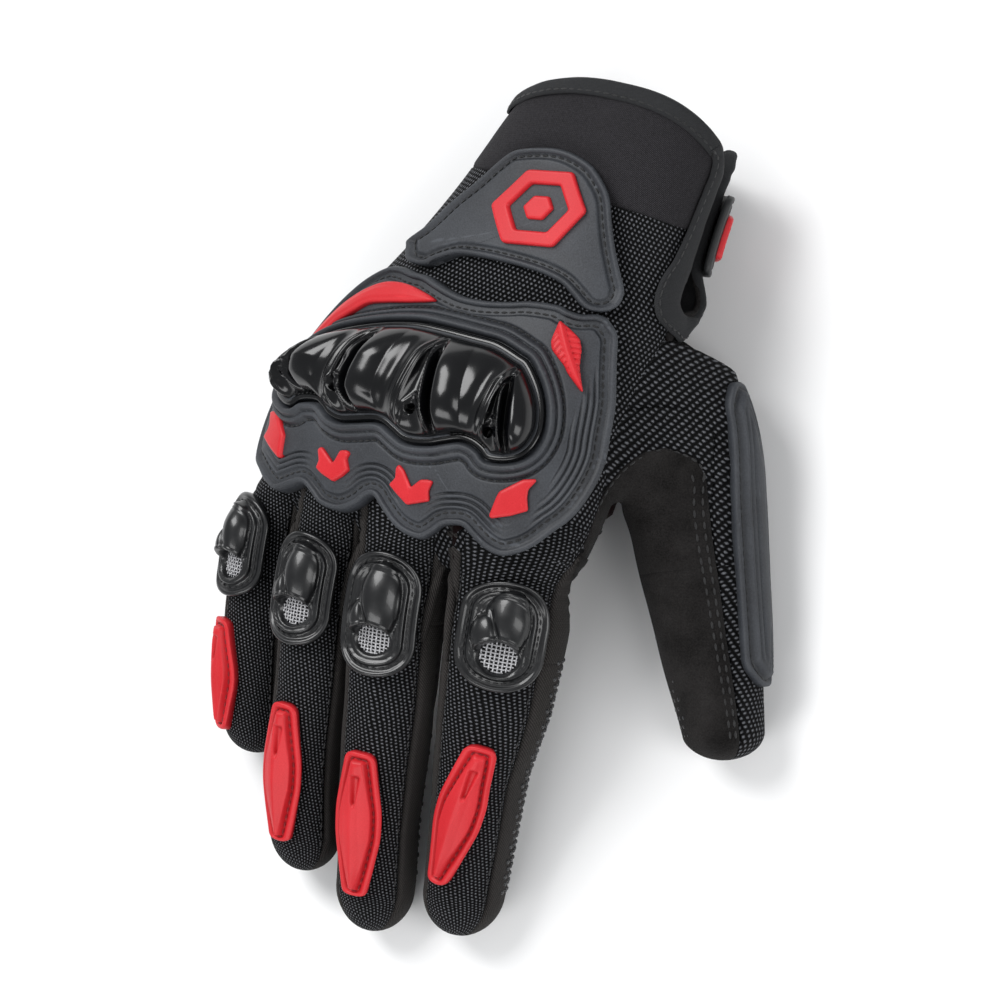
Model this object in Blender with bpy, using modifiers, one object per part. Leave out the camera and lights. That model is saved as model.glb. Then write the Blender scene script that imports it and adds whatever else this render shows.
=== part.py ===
"""Right-hand riding glove, lying palm down: fabric shells, moulded armour, and a wrist strap.

Sizes are in millimetres and become metres where a mesh is made. +Z is the back of the hand, -Y the
way the fingers point and +X the thumb's side. The origin is the middle of the palm heel pad's flat
underside. On every limb an angle of 0 degrees is its back, 90 its thumb side and 180 its palm.
"""

import math

import bmesh
import bpy
from mathutils import Vector

MM = 0.001
DATUM = Vector((8, 34, 0))  # the heel pad's centre in drawing coordinates, which becomes the origin
WALL = 1.6  # fabric with its lining
SEAM = 0.5  # half of the gap that a back panel keeps to its palm panel
HINGE_GAP = 0.5  # between a shell's end and its hinge axis
ROUNDNESS = 2.4  # superellipse power of the hand's sections

KNUCKLE_Y = -27.0
PANEL_SEAM_Y = 66.0  # mesh back panel to neoprene cuff
SLIT = (84, 118)  # degrees of the wrist slit's two edges
KNUCKLE_RANGE = (-10, 60)
MID_RANGE = (-10, 70)
THUMB_RANGE = (-10, 25)
THUMB_TIP_RANGE = (0, 40)
STRAP_RANGE = (0, 120)
STRAP_Y = (57, 78)  # its two long edges
STRAP_FIRST, STRAP_LAST = 98, 206  # degrees of its hinged end and its free end
STRAP_OUT = 3.1  # its underside over the cuff

# y, centre x, half width, centre z, half depth, roll in degrees
HAND = (
    (-28, 0, 48, 32, 15.5, 15),
    (-12, 1, 49, 32, 18.5, 15),
    (0, 2, 48.5, 31.5, 20, 15),
    (12, 3.5, 46.5, 30, 21, 14.5),
    (27, 6.5, 43, 29, 20.5, 13),
    (42, 11, 39, 28, 20.5, 11),
    (60, 14.4, 32.7, 28.7, 19.8, 8),
    (80, 18.5, 28.3, 29, 20, 5),
    (98, 23.8, 25, 29, 20.3, 4),
)

# path: x, y, z of the centre line, half width, half depth; the middle hinge is at the station called bend.
# capsule and slider: how far they start from the knuckle and from the bend, length, degrees of lean
FINGERS = {
    "index": {
        "path": (
            (29, -27, 35, 14, 12),
            (31, -45, 33.5, 13.2, 11.6),
            (32, -62, 28.5, 12.2, 11),
            (32.3, -86, 19, 11.2, 10.2),
            (33, -108, 11.2, 10.4, 9.6),
            (33.6, -119.5, 9, 0, 0),
        ),
        "capsule": (2.5, 27, 13),
        "slider": (6, 37, 0),
        "bend": 2,
    },
    "middle": {
        "path": (
            (0, -27, 35, 11.2, 11.5),
            (1.2, -45, 33.5, 11, 11),
            (4.4, -68, 28, 10.8, 10.5),
            (6.8, -92, 19, 10.5, 10),
            (9.8, -114, 10.8, 10, 9.5),
            (11.3, -125.5, 9, 0, 0),
        ),
        "capsule": (4.5, 29, -3),
        "slider": (9.5, 37, -7),
        "bend": 2,
    },
    "ring": {
        "path": (
            (-22, -27, 30.5, 9.8, 10.5),
            (-20.5, -48, 28.5, 9.7, 10.2),
            (-18, -67, 24.5, 9.6, 10),
            (-15.9, -90, 16.5, 9.4, 9.5),
            (-13, -106, 10.8, 9.2, 9.2),
            (-11.2, -116.5, 9, 0, 0),
        ),
        "capsule": (5.5, 27, -13),
        "slider": (6, 36, -14),
        "bend": 2,
    },
    "little": {
        "path": (
            (-43, -27, 21, 8.9, 10),
            (-41.9, -42, 20, 8.7, 9.6),
            (-40.2, -56, 17.5, 8.6, 9.2),
            (-37.3, -74, 12.2, 8.4, 8.8),
            (-35.1, -84, 9.9, 8.2, 8.5),
            (-33.8, -92, 8.8, 0, 0),
        ),
        "capsule": (2, 25, -28),
        "slider": (3, 29, -42),
        "bend": 2,
    },
}
THUMB = {
    "path": (
        (50.5, 34, 20, 12, 11.5),
        (57, 19, 18, 14, 12.5),
        (62.5, 0.5, 16.5, 16.5, 12.5),
        (72, -21, 14, 14, 11.8),
        (80.5, -38.5, 12.2, 11.8, 10.6),
        (86, -50, 11, 10, 9.6),
        (88.6, -56.5, 10, 0, 0),
    ),
    "bend": 3,
    "lean": 26,
}
THUMB_ROOT = Vector((52, 34, 19))
THUMB_FLEX = Vector((-0.8, 0, -0.6))  # the way the thumb's tip goes as it closes

CAPSULE_WIDTHS = {"index": 19, "middle": 18, "ring": 16.5, "little": 16}
SLIDER_WIDTH = 12
THUMB_SLIDER_WIDTHS = (12.5, 10.5)

COLOURS = {
    "mesh_knit": ((0.015, 0.015, 0.017), 0.9),
    "suede": ((0.02, 0.019, 0.019), 0.95),
    "neoprene": ((0.022, 0.022, 0.024), 0.85),
    "binding": ((0.012, 0.012, 0.013), 0.6),
    "foam": ((0.05, 0.05, 0.05), 0.95),
    "black_rubber": ((0.028, 0.028, 0.03), 0.55),
    "black_gloss": ((0.008, 0.008, 0.009), 0.12),
    "red_rubber": ((0.75, 0.02, 0.025), 0.45),
    "vent_weave": ((0.6, 0.6, 0.62), 0.5),
    "hook_loop": ((0.01, 0.01, 0.01), 0.98),
}


# ---------------------------------------------------------------- scene helpers


def clear_scene():
    for obj in list(bpy.data.objects):
        bpy.data.objects.remove(obj, do_unlink=True)


def parts_collection():
    collection = bpy.data.collections.new("riding_glove")
    bpy.context.scene.collection.children.link(collection)
    return collection


def make_material(name):
    colour, roughness = COLOURS[name]
    material = bpy.data.materials.new(name)
    material.use_nodes = True
    shader = material.node_tree.nodes["Principled BSDF"]
    shader.inputs["Base Color"].default_value = (*colour, 1)
    shader.inputs["Roughness"].default_value = roughness
    shader.inputs["Metallic"].default_value = 0
    return material


def world(point):
    """A drawing point in millimetres as a place in metres."""
    return (Vector(point) - DATUM) * MM


class Builder:
    """Holds the collection, the materials and the pivot empty of each moving body."""

    def __init__(self):
        self.collection = parts_collection()
        self.materials = {name: make_material(name) for name in COLOURS}
        self.pivots = {}

    def pivot(self, body, point, parent=None):
        empty = bpy.data.objects.new(body + "_pivot", None)
        empty.empty_display_size = 0.01
        self.collection.objects.link(empty)
        place = world(point)
        if parent:
            empty.parent = self.pivots[parent][0]
            empty.location = place - self.pivots[parent][1]
        else:
            empty.location = place
        self.pivots[body] = (empty, place)

    def place(self, obj, body, material):
        obj.data.materials.append(self.materials[material])
        self.collection.objects.link(obj)
        if body in self.pivots:
            obj.parent = self.pivots[body][0]

    def origin(self, body):
        return self.pivots[body][1] if body in self.pivots else Vector()

    def sheet(self, name, body, material, rows, tip=None, thickness=WALL, outward=False):
        """An open surface through rows of points, closed over a tip if given, made solid by Solidify."""
        start = self.origin(body)
        mesh = bmesh.new()
        grid = [[mesh.verts.new(world(p) - start) for p in row] for row in rows]
        for low, high in zip(grid, grid[1:]):
            for i in range(len(low) - 1):
                mesh.faces.new((low[i], low[i + 1], high[i + 1], high[i]))
        if tip is not None:
            end = mesh.verts.new(world(tip) - start)
            last = grid[-1]
            for i in range(len(last) - 1):
                mesh.faces.new((last[i], last[i + 1], end))
        middle = sum((vert.co for vert in mesh.verts), Vector()) / len(mesh.verts)
        self.solidify(name, body, material, mesh, thickness, outward,
                      lambda face: face.calc_center_median() - middle)

    def plate(self, name, body, material, outline, place, heights, thickness, middle=None):
        """A pad of closed rings drawn in from an outline to its middle, its underside at each ring's height.
        The middle of a hollow-sided outline is given: a point that sees all of the outline."""
        start = self.origin(body)
        mesh = bmesh.new()
        mean = Vector((sum(p[0] for p in outline), sum(p[1] for p in outline))) / len(outline)
        centre = Vector(middle) if middle else mean
        rings = []
        for share, height in heights[:-1]:
            points = [centre + (Vector(p) - centre) * share for p in outline]
            rings.append([mesh.verts.new(world(place(p.x, p.y, height)) - start) for p in points])
        count = len(outline)
        for outer, inner in zip(rings, rings[1:]):
            for i in range(count):
                j = (i + 1) % count
                mesh.faces.new((outer[i], outer[j], inner[j], inner[i]))
        peak = mesh.verts.new(world(place(centre.x, centre.y, heights[-1][1])) - start)
        for i in range(count):
            mesh.faces.new((rings[-1][i], rings[-1][(i + 1) % count], peak))
        outside = place(centre.x, centre.y, 1) - place(centre.x, centre.y, 0)
        self.solidify(name, body, material, mesh, thickness, True, lambda face: outside)

    def solidify(self, name, body, material, mesh, thickness, outward, outside):
        """Faces the surface the way outside says, then thickens it outward or inward."""
        mesh.normal_update()
        if sum(face.normal.dot(outside(face)) * face.calc_area() for face in mesh.faces) < 0:
            bmesh.ops.reverse_faces(mesh, faces=mesh.faces[:])
        data = bpy.data.meshes.new(name)
        mesh.to_mesh(data)
        mesh.free()
        data.shade_smooth()
        obj = bpy.data.objects.new(name, data)
        wall = obj.modifiers.new("wall", "SOLIDIFY")
        wall.thickness = thickness * MM
        wall.offset = 1 if outward else -1
        self.place(obj, body, material)

    def tube(self, name, material, points, radius):
        """A closed loop of round cord."""
        data = bpy.data.curves.new(name, "CURVE")
        data.dimensions = "3D"
        data.bevel_depth = radius * MM
        data.bevel_resolution = 1
        spline = data.splines.new("POLY")
        spline.points.add(len(points) - 1)
        for handle, point in zip(spline.points, points):
            handle.co = (*world(point), 1)
        spline.use_cyclic_u = True
        self.place(bpy.data.objects.new(name, data), "hand", material)


# ---------------------------------------------------------------- shapes


def smooth(table, at):
    """The row of a table at the value of its first column, on a smooth curve through all rows."""
    if at <= table[0][0]:
        return table[0][1:]
    if at >= table[-1][0]:
        return table[-1][1:]
    i = max(k for k in range(len(table) - 1) if table[k][0] <= at)
    low, high = table[i], table[i + 1]
    span = high[0] - low[0]
    before = table[i - 1] if i else low
    after = table[i + 2] if i + 2 < len(table) else high
    t = (at - low[0]) / span
    row = []
    for k in range(1, len(low)):
        leave = (high[k] - before[k]) / (high[0] - before[0]) * span
        arrive = (after[k] - low[k]) / (after[0] - low[0]) * span
        row.append(
            (2 * t**3 - 3 * t**2 + 1) * low[k]
            + (t**3 - 2 * t**2 + t) * leave
            + (3 * t**2 - 2 * t**3) * high[k]
            + (t**3 - t**2) * arrive
        )
    return row


def superellipse(degrees, half_width, half_depth, power=ROUNDNESS):
    angle = math.radians(degrees)
    across = math.copysign(abs(math.sin(angle)) ** (2 / power), math.sin(angle)) * half_width
    up = math.copysign(abs(math.cos(angle)) ** (2 / power), math.cos(angle)) * half_depth
    return across, up


def hand_point(degrees, y, out=0.0):
    """A point on the hand's surface, or as far outside it as out says."""
    x, width, z, depth, roll = smooth(HAND, y)
    across, up = superellipse(degrees, width + out, depth + out)
    roll = math.radians(roll)
    return Vector((
        x + across * math.cos(roll) - up * math.sin(roll),
        y,
        z + across * math.sin(roll) + up * math.cos(roll),
    ))


def ramp(value, start, end):
    t = min(max((value - start) / (end - start), 0), 1)
    return t * t * (3 - 2 * t)


def between(start, end, count):
    return [start + (end - start) * i / (count - 1) for i in range(count)]


def clearance(height, limits):
    """How far a shell's end stands off its hinge at a height over the axis, for half of the turn each."""
    angle = limits[1] if height < 0 else -limits[0]
    return HINGE_GAP + abs(height) * math.tan(math.radians(angle / 2 + 2.5))


class Limb:
    """A finger or thumb: sections along a smooth centre line, bending about one sideways axis."""

    def __init__(self, spec, side=None):
        self.stations = spec["path"]
        points = [Vector(s[:3]) for s in self.stations]
        self.length = [0.0]
        for a, b in zip(points, points[1:]):
            self.length.append(self.length[-1] + (b - a).length)
        self.table = [(d, *s) for d, s in zip(self.length, self.stations)]
        run = points[spec["bend"]] - points[0]
        self.side = side or Vector((-run.y, run.x, 0)).normalized()
        self.middle = self.length[spec["bend"]]
        self.dome = self.length[-2]
        self.end = self.length[-1]

    def frame(self, along):
        """Centre, tangent and upward direction at a distance along the limb."""
        centre = Vector(smooth(self.table, along)[:3])
        ahead = Vector(smooth(self.table, min(along + 1, self.end))[:3])
        behind = Vector(smooth(self.table, max(along - 1, 0))[:3])
        tangent = (ahead - behind).normalized()
        return centre, tangent, tangent.cross(self.side).normalized()

    def size(self, along):
        """Half width and half depth, closing in a round dome over the tip."""
        if along <= self.dome:
            return smooth(self.table[:-1], along)[3:]
        width, depth = self.stations[-2][3:]
        t = (along - self.dome) / (self.end - self.dome)
        share = math.sqrt(max(1 - t * t, 0))
        return width * share, depth * share

    def point(self, degrees, along, out=0.0, shift=0.0):
        centre, _, up = self.frame(along)
        width, depth = self.size(along)
        across, rise = superellipse(degrees, width + out, depth + out, 2.15)
        return centre + self.side * across + up * (rise + shift)

    def pad(self, start, length, lean):
        """The place of a pad's drawing on the limb: its x goes round the limb and its y towards the wrist."""

        def place(across, up, out):
            along = start + length / 2 - up
            width, depth = self.size(along)
            return self.point(lean + math.degrees(across / ((width + depth) / 2)), along, out)

        return place


def stadium(length, width, corner_steps=4):
    """A slot outline about its centre, across and along."""
    radius = width / 2
    straight = length / 2 - radius
    points = []
    for end in (1, -1):
        for i in range(corner_steps + 1):
            angle = math.pi * i / corner_steps
            points.append((end * radius * math.cos(angle), end * (straight + radius * math.sin(angle))))
    return points


def long_hexagon(length, width, nose):
    """A slider's outline about its centre: straight sides that taper to blunt ends."""
    half, end = length / 2, width / 2
    return [
        (end, -half * 0.35), (end, half * 0.25), (nose, half * 0.94), (nose * 0.4, half),
        (-nose * 0.4, half), (-nose, half * 0.94), (-end, half * 0.25), (-end, -half * 0.35),
        (-nose, -half * 0.94), (-nose * 0.4, -half), (nose * 0.4, -half), (nose, -half * 0.94),
    ]


# ---------------------------------------------------------------- hand

# Outlines on the hand's back: degrees round the hand, then y
GUARD = (
    (-58, -15), (-52, -20), (-42, -23.5), (-31, -24), (-23, -22), (-15, -25), (-8, -24.5), (-2, -19.5),
    (5, -21.5), (13, -25), (21, -24), (29, -20.5), (37, -21), (45, -23), (57, -22), (68, -17), (74, -8),
    (75, 4), (72, 16), (64, 28), (54, 37.5), (44, 39), (30, 37), (17, 37.5), (3, 35.5), (-10, 36.5),
    (-25, 38), (-42, 33), (-57, 24), (-67, 11), (-70, 0), (-67, -9),
)
SHELL = (
    (-50, -2), (-43, -4.5), (-37, -4), (-31, -2), (-26, -1.5), (-20, -3.5), (-14, -4.5), (-9, -3.5),
    (-3, -2), (2, -4.5), (7, -4.2), (14, -1.2), (20, -0.8), (27, -3), (34, -1.8), (40, 2), (41.5, 8),
    (39, 13), (33, 19), (25, 23.5), (13, 25.2), (-3, 24.8), (-19, 21.5), (-34, 17.5), (-45, 13),
    (-53, 5),
)
CRESCENT = (
    (-52, 14), (-50, 19), (-45.5, 24.5), (-39, 29.2), (-32, 32), (-24, 33.2), (-16, 32.6), (-8.5, 30.8),
    (-15, 29), (-26, 27.8), (-34, 25.5), (-41, 21), (-46, 15.5),
)
CRESCENT_MIDDLE = (-38, 27)
CUFF_PAD = (
    (-38, 37.5), (-41, 42), (-44, 48), (-44, 56), (-38, 65), (-28, 71), (-15, 75.5), (-2, 77), (10, 75.5),
    (21, 70), (32, 62), (44, 54), (52, 49), (50, 44.5), (40, 42.5), (24, 44), (6, 45), (-10, 43),
    (-24, 39),
)
CHEVRONS = {
    "little": ((-53.5, -7), (-47.5, -7.6), (-41.3, -10.4), (-39, -12.4), (-38, -17.5), (-44.5, -16.7),
               (-54.5, -14), (-52, -11.5)),
    "ring": ((-20.6, -13), (-18, -12.4), (-14, -15), (-12, -11), (-9.7, -11.5), (-8.5, -15.6),
             (-12.5, -19.7), (-19.7, -17.4)),
    "middle": ((2, -11.2), (3.8, -11.7), (7, -15), (10, -12), (12.7, -12), (13, -16.8), (7, -19.5),
               (1.6, -16)),
    "index": ((33.2, -16), (46.4, -12), (44.2, -8), (46, -4), (41, -5), (33.8, -9.5)),
}
CHEVRON_MIDDLES = {"little": (-46, -12.5), "ring": (-13.8, -17), "middle": (7, -17), "index": (40, -9.5)}
BADGE = ((28, 35), (34, 34), (40.5, 31.5), (43.5, 26), (50.5, 19.5), (41, 23), (31.5, 27.5))


def ring_outline(middle, half_across, half_along, count):
    return [
        (middle[0] + half_across * math.sin(2 * math.pi * i / count),
         middle[1] + half_along * math.cos(2 * math.pi * i / count))
        for i in range(count)
    ]


def slit_edge(y, closed, opened):
    """The angle of a panel's thumb-side edge, which opens for the wrist slit above y 43."""
    return closed + (opened - closed) * ramp(y, 43, 50)


def rim_y(degrees):
    """The cuff's mouth, which rises over the back of the wrist."""
    return 84 + 10 * max(math.cos(math.radians(degrees - 15)), 0) ** 1.5


def front_y(degrees, half):
    _, width, _, depth, _ = smooth(HAND, KNUCKLE_Y)
    _, up = superellipse(degrees, width, depth)
    return KNUCKLE_Y + clearance(up if half > 0 else min(up, -0.01), KNUCKLE_RANGE)


def shifted(point, rise):
    return point + Vector((0, 0, rise))


def build_hand_back(build):
    rows = []
    for share in between(0, 1, 12):
        row = []
        for turn in between(0, 1, 15):
            middle_y = KNUCKLE_Y + share * (PANEL_SEAM_Y - KNUCKLE_Y)
            degrees = -90 + turn * (90 + slit_edge(middle_y, 90, SLIT[0]))
            front = front_y(degrees, 1)
            y = front + share * (PANEL_SEAM_Y - front)
            row.append(shifted(hand_point(degrees, y), SEAM))
        rows.append(row)
    build.sheet("hand_back_panel", "hand", "mesh_knit", rows)


def thumb_notch(y):
    """How far the palm's thumb-side edge draws back, in degrees, to leave the thumb's mouth."""
    return 64 * ramp(y, -8, 4) * (1 - ramp(y, 38, 44))


def build_hand_palm(build):
    rows = []
    for share in between(0, 1, 12):
        row = []
        for turn in between(0, 1, 15):
            middle_y = KNUCKLE_Y + share * (PANEL_SEAM_Y - KNUCKLE_Y)
            edge = slit_edge(middle_y, 90, SLIT[1]) + thumb_notch(middle_y)
            degrees = edge + turn * (270 - edge)
            front = front_y(degrees, -1)
            y = front + share * (PANEL_SEAM_Y - front)
            row.append(shifted(hand_point(degrees, y), -SEAM))
        rows.append(row)
    build.sheet("hand_palm_panel", "hand", "suede", rows)


def build_cuff(build):
    for name, first, last, rise, material in (
        ("cuff_back_panel", -90, SLIT[0], SEAM, "neoprene"),
        ("cuff_palm_panel", SLIT[1], 270, -SEAM, "neoprene"),
    ):
        rows = []
        for share in between(0, 1, 4):
            row = []
            for degrees in between(first, last, 15):
                low = PANEL_SEAM_Y + 2 * SEAM
                y = low + share * (rim_y(degrees) - low)
                row.append(shifted(hand_point(degrees, y), rise))
            rows.append(row)
        build.sheet(name, "hand", material, rows)


def build_binding(build):
    """Tape round the cuff's mouth, down the back edge of the slit, round its foot and up again."""
    radius = 1.4
    off = radius + 1.3
    sink = -0.8
    loop = [hand_point(d, rim_y(d) + off, sink) for d in between(SLIT[1] - 1, 360 + SLIT[0], 40)]
    loop += [hand_point(SLIT[0] + 5, y, sink) for y in between(84, 53, 6)]
    foot = ((SLIT[0] + 8, 48), (SLIT[0] + 13, 45.8), (SLIT[1] - 13, 45.8), (SLIT[1] - 8, 48))
    loop += [hand_point(d, y, sink) for d, y in foot]
    loop += [hand_point(SLIT[1] - 5, y, sink) for y in between(53, 82, 6)]
    build.tube("cuff_binding", "binding", loop, radius)


def build_guard(build):
    layer = ((0.86, 1.3), (0.65, 1.4), (0.45, 1.4), (0.2, 1.4), (0, 1.4))
    build.plate("knuckle_foam", "hand", "foam", SHELL, hand_point, layer, 1)
    build.plate(
        "knuckle_guard", "hand", "black_rubber", GUARD, hand_point,
        ((1, 1.6), (0.86, 2.8), (0.6, 2.9), (0.4, 2.9), (0.2, 2.9), (0, 2.9)), 2.2,
    )
    build.plate(
        "knuckle_shell", "hand", "black_gloss", SHELL, hand_point,
        ((1, 5.6), (0.93, 9), (0.7, 12.5), (0.4, 13.5), (0, 14)), 1.8,
    )
    flat = ((1, 5.5), (0, 5.5))
    build.plate("knuckle_crescent", "hand", "red_rubber", CRESCENT, hand_point, ((1, 6), (0, 6)), 0.9,
                CRESCENT_MIDDLE)
    build.plate("knuckle_badge", "hand", "red_rubber", BADGE, hand_point, flat, 0.9)
    for finger, outline in CHEVRONS.items():
        build.plate(finger + "_chevron", "hand", "red_rubber", outline, hand_point, flat, 0.9,
                    CHEVRON_MIDDLES[finger])


def build_cuff_pad(build):
    build.plate(
        "cuff_pad", "hand", "black_rubber", CUFF_PAD, hand_point,
        ((1, 1), (0.75, 1.2), (0.5, 1.2), (0.25, 1.2), (0, 1.2)), 2.2,
    )
    build.plate(
        "cuff_emblem", "hand", "red_rubber", ring_outline((0, 61), 16, 9, 6), hand_point,
        ((1, 3.6), (0, 3.6)), 0.9,
    )


def build_palm_patches(build):
    grip = ring_outline((182, 6), 38, 22, 16)
    build.plate("palm_grip_patch", "hand", "suede", grip, hand_point,
                ((1, 1), (0.6, 1), (0.3, 1), (0, 1)), 1.2)
    build_heel_pad(build)


def build_heel_pad(build):
    """A flat moulded pad under the heel of the hand, on which the glove rests."""
    length, width, corner, thickness = 40, 24, 8, 3.4
    data = bpy.data.curves.new("palm_heel_pad", "CURVE")
    data.dimensions = "2D"
    data.fill_mode = "BOTH"
    data.extrude = thickness / 2 * MM
    spline = data.splines.new("POLY")
    outline = []
    for quarter, (sx, sy) in enumerate(((1, 1), (-1, 1), (-1, -1), (1, -1))):
        for step in range(5):
            angle = math.radians(90 * quarter + 22.5 * step)
            outline.append((
                sx * (length / 2 - corner) + corner * math.cos(angle),
                sy * (width / 2 - corner) + corner * math.sin(angle),
            ))
    spline.points.add(len(outline) - 1)
    for handle, (x, y) in zip(spline.points, outline):
        handle.co = (x * MM, y * MM, 0, 1)
    spline.use_cyclic_u = True
    obj = bpy.data.objects.new("palm_heel_pad", data)
    obj.location = (0, 0, thickness / 2 * MM)
    build.place(obj, "hand", "black_rubber")


# ---------------------------------------------------------------- strap

def strap_hinge():
    """Where the strap leaves the back of the cuff, and the way along that edge towards the fingers."""
    low = hand_point(STRAP_FIRST, STRAP_Y[0], STRAP_OUT)
    high = hand_point(STRAP_FIRST, STRAP_Y[1], STRAP_OUT)
    return (low + high) / 2, (low - high).normalized()


def build_strap(build):
    def band(first, last, low, high, out, steps):
        return [
            [hand_point(d, y, out) for y in between(low, high, 3)] for d in between(first, last, steps)
        ]

    low, high = STRAP_Y
    build.sheet("wrist_loop_patch", "hand", "hook_loop", band(210, 132, low + 1, high - 1, 0.9, 9),
                thickness=0.8, outward=True)
    build.pivot("closure_strap", strap_hinge()[0])
    build.sheet("strap_band", "closure_strap", "black_rubber",
                band(STRAP_LAST, STRAP_FIRST, low, high, STRAP_OUT, 14), thickness=2.0, outward=True)
    build.sheet("strap_hook_patch", "closure_strap", "hook_loop",
                band(202, 146, low + 2, high - 2, 2.0, 7), thickness=0.7, outward=True)
    build.sheet("strap_badge", "closure_strap", "red_rubber",
                band(122, 104, low + 5, high - 5, STRAP_OUT + 2.4, 4), thickness=0.9, outward=True)


# ---------------------------------------------------------------- fingers and thumb


def half_shell(limb, half, low, high, low_limits, high_limits, steps):
    """Rows of points on a limb's back (half 1) or palm (half -1), cut to clear the hinges at its ends."""
    rows = []
    for share in between(0, 1, steps):
        row = []
        for turn in between(-90, 90, 9):
            degrees = turn if half > 0 else 180 + turn
            start, end = low, high
            if low_limits:
                start += clearance(superellipse(degrees, *limb.size(low), 2.15)[1] or -0.01, low_limits)
            if high_limits:
                end -= clearance(superellipse(degrees, *limb.size(high), 2.15)[1] or -0.01, high_limits)
            row.append(limb.point(degrees, start + share * (end - start), shift=half * SEAM))
        rows.append(row)
    return rows


def build_segment_shells(build, name, body, limb, low, high, low_limits, high_limits, closed=False):
    for half, panel, material in ((1, "back", "mesh_knit"), (-1, "palm", "suede")):
        if not closed:
            rows = half_shell(limb, half, low, high, low_limits, high_limits, 4)
            build.sheet(f"{name}_{panel}", body, material, rows)
            continue
        rows = half_shell(limb, half, low, limb.dome, low_limits, None, 4)
        reach = limb.end - limb.dome
        for share in (0.45, 0.75, 0.93):
            along = limb.dome + reach * share
            rows.append([
                limb.point(turn if half > 0 else 180 + turn, along, shift=half * SEAM)
                for turn in between(-90, 90, 9)
            ])
        centre, _, up = limb.frame(limb.end)
        build.sheet(f"{name}_{panel}", body, material, rows, tip=centre + up * (half * SEAM))


def build_finger(build, name, spec):
    limb = Limb(spec)
    base, tip = f"{name}_base", f"{name}_tip"
    build.pivot(base, limb.frame(0)[0])
    build.pivot(tip, limb.frame(limb.middle)[0], parent=base)
    build_segment_shells(build, base, base, limb, 0, limb.middle, KNUCKLE_RANGE, MID_RANGE)
    build_segment_shells(build, tip, tip, limb, limb.middle, limb.end, MID_RANGE, None, closed=True)

    start, length, lean = spec["capsule"]
    on_base = limb.pad(start, length, lean)
    window = [(x, y - length * 0.2) for x, y in stadium(length * 0.34, 6, 3)]
    build.plate(f"{name}_vent_guard", base, "black_gloss", stadium(length, CAPSULE_WIDTHS[name]), on_base,
                ((1, 1.1), (0.7, 1.2), (0.35, 1.3), (0, 1.3)), 1.7)
    build.plate(f"{name}_vent_mesh", base, "vent_weave", window, on_base, ((1, 3.4), (0, 3.4)), 0.5)

    start, length, lean = spec["slider"]
    on_tip = limb.pad(limb.middle + start, length, lean)
    build.plate(f"{name}_slider", tip, "red_rubber", long_hexagon(length, SLIDER_WIDTH, 3.2), on_tip,
                ((1, 0.8), (0.6, 1.1), (0, 1.2)), 2.0)


def thumb_axis():
    reach = Vector(THUMB["path"][-1][:3]) - THUMB_ROOT
    return reach.cross(THUMB_FLEX).normalized()


def build_thumb(build):
    limb = Limb(THUMB, side=thumb_axis())
    build.pivot("thumb_base", THUMB_ROOT)
    build.pivot("thumb_tip", limb.frame(limb.middle)[0], parent="thumb_base")
    build_segment_shells(build, "thumb_base", "thumb_base", limb, 0, limb.middle, None, THUMB_TIP_RANGE)
    build_segment_shells(build, "thumb_tip", "thumb_tip", limb, limb.middle, limb.end, THUMB_TIP_RANGE,
                         None, closed=True)

    lean = THUMB["lean"]
    length = limb.middle - 6
    build.plate("thumb_base_slider", "thumb_base", "black_rubber",
                long_hexagon(length, THUMB_SLIDER_WIDTHS[0], 5), limb.pad(4, length - 1, lean),
                ((1, 0.9), (0.6, 1.5), (0, 1.6)), 2.4)
    length = 20
    build.plate("thumb_tip_slider", "thumb_tip", "black_rubber",
                long_hexagon(length, THUMB_SLIDER_WIDTHS[1], 3.5), limb.pad(limb.middle + 2.5, length, lean),
                ((1, 0.9), (0.6, 1.3), (0, 1.4)), 2.4)


def main():
    clear_scene()
    build = Builder()
    build_hand_back(build)
    build_hand_palm(build)
    build_cuff(build)
    build_binding(build)
    build_guard(build)
    build_cuff_pad(build)
    build_palm_patches(build)
    build_strap(build)
    for name, spec in FINGERS.items():
        build_finger(build, name, spec)
    build_thumb(build)


main()
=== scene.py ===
import math

import bmesh
import bpy
import numpy as np
from mathutils import Matrix, Vector


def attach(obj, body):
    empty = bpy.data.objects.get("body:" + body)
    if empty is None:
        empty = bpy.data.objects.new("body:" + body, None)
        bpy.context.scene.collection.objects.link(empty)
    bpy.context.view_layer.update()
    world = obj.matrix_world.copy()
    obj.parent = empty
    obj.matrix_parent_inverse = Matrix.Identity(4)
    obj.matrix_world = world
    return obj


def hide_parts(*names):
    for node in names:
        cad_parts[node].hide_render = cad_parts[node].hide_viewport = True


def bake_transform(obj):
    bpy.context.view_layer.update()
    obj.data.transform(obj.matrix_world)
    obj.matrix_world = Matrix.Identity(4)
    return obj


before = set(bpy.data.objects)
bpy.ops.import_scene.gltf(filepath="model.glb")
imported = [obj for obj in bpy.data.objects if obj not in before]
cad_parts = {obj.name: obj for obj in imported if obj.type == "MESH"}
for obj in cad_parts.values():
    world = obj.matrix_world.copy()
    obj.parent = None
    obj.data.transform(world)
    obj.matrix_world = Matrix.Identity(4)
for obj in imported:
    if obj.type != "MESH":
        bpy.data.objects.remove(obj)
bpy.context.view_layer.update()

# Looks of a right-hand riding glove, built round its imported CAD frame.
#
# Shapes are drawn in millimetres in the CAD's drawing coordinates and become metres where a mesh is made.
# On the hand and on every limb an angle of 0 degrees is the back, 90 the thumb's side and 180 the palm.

MM = 0.001
DATUM = np.array((8.0, 34.0, 0.0))
ROUNDNESS = 2.4
LIMB_ROUNDNESS = 2.15
PANEL_SEAM_Y = 66.0
SLIT = (92, 110)  # degrees of the wrist slit's two edges
FABRIC = 1.2  # thickness of the fabric walls

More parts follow.
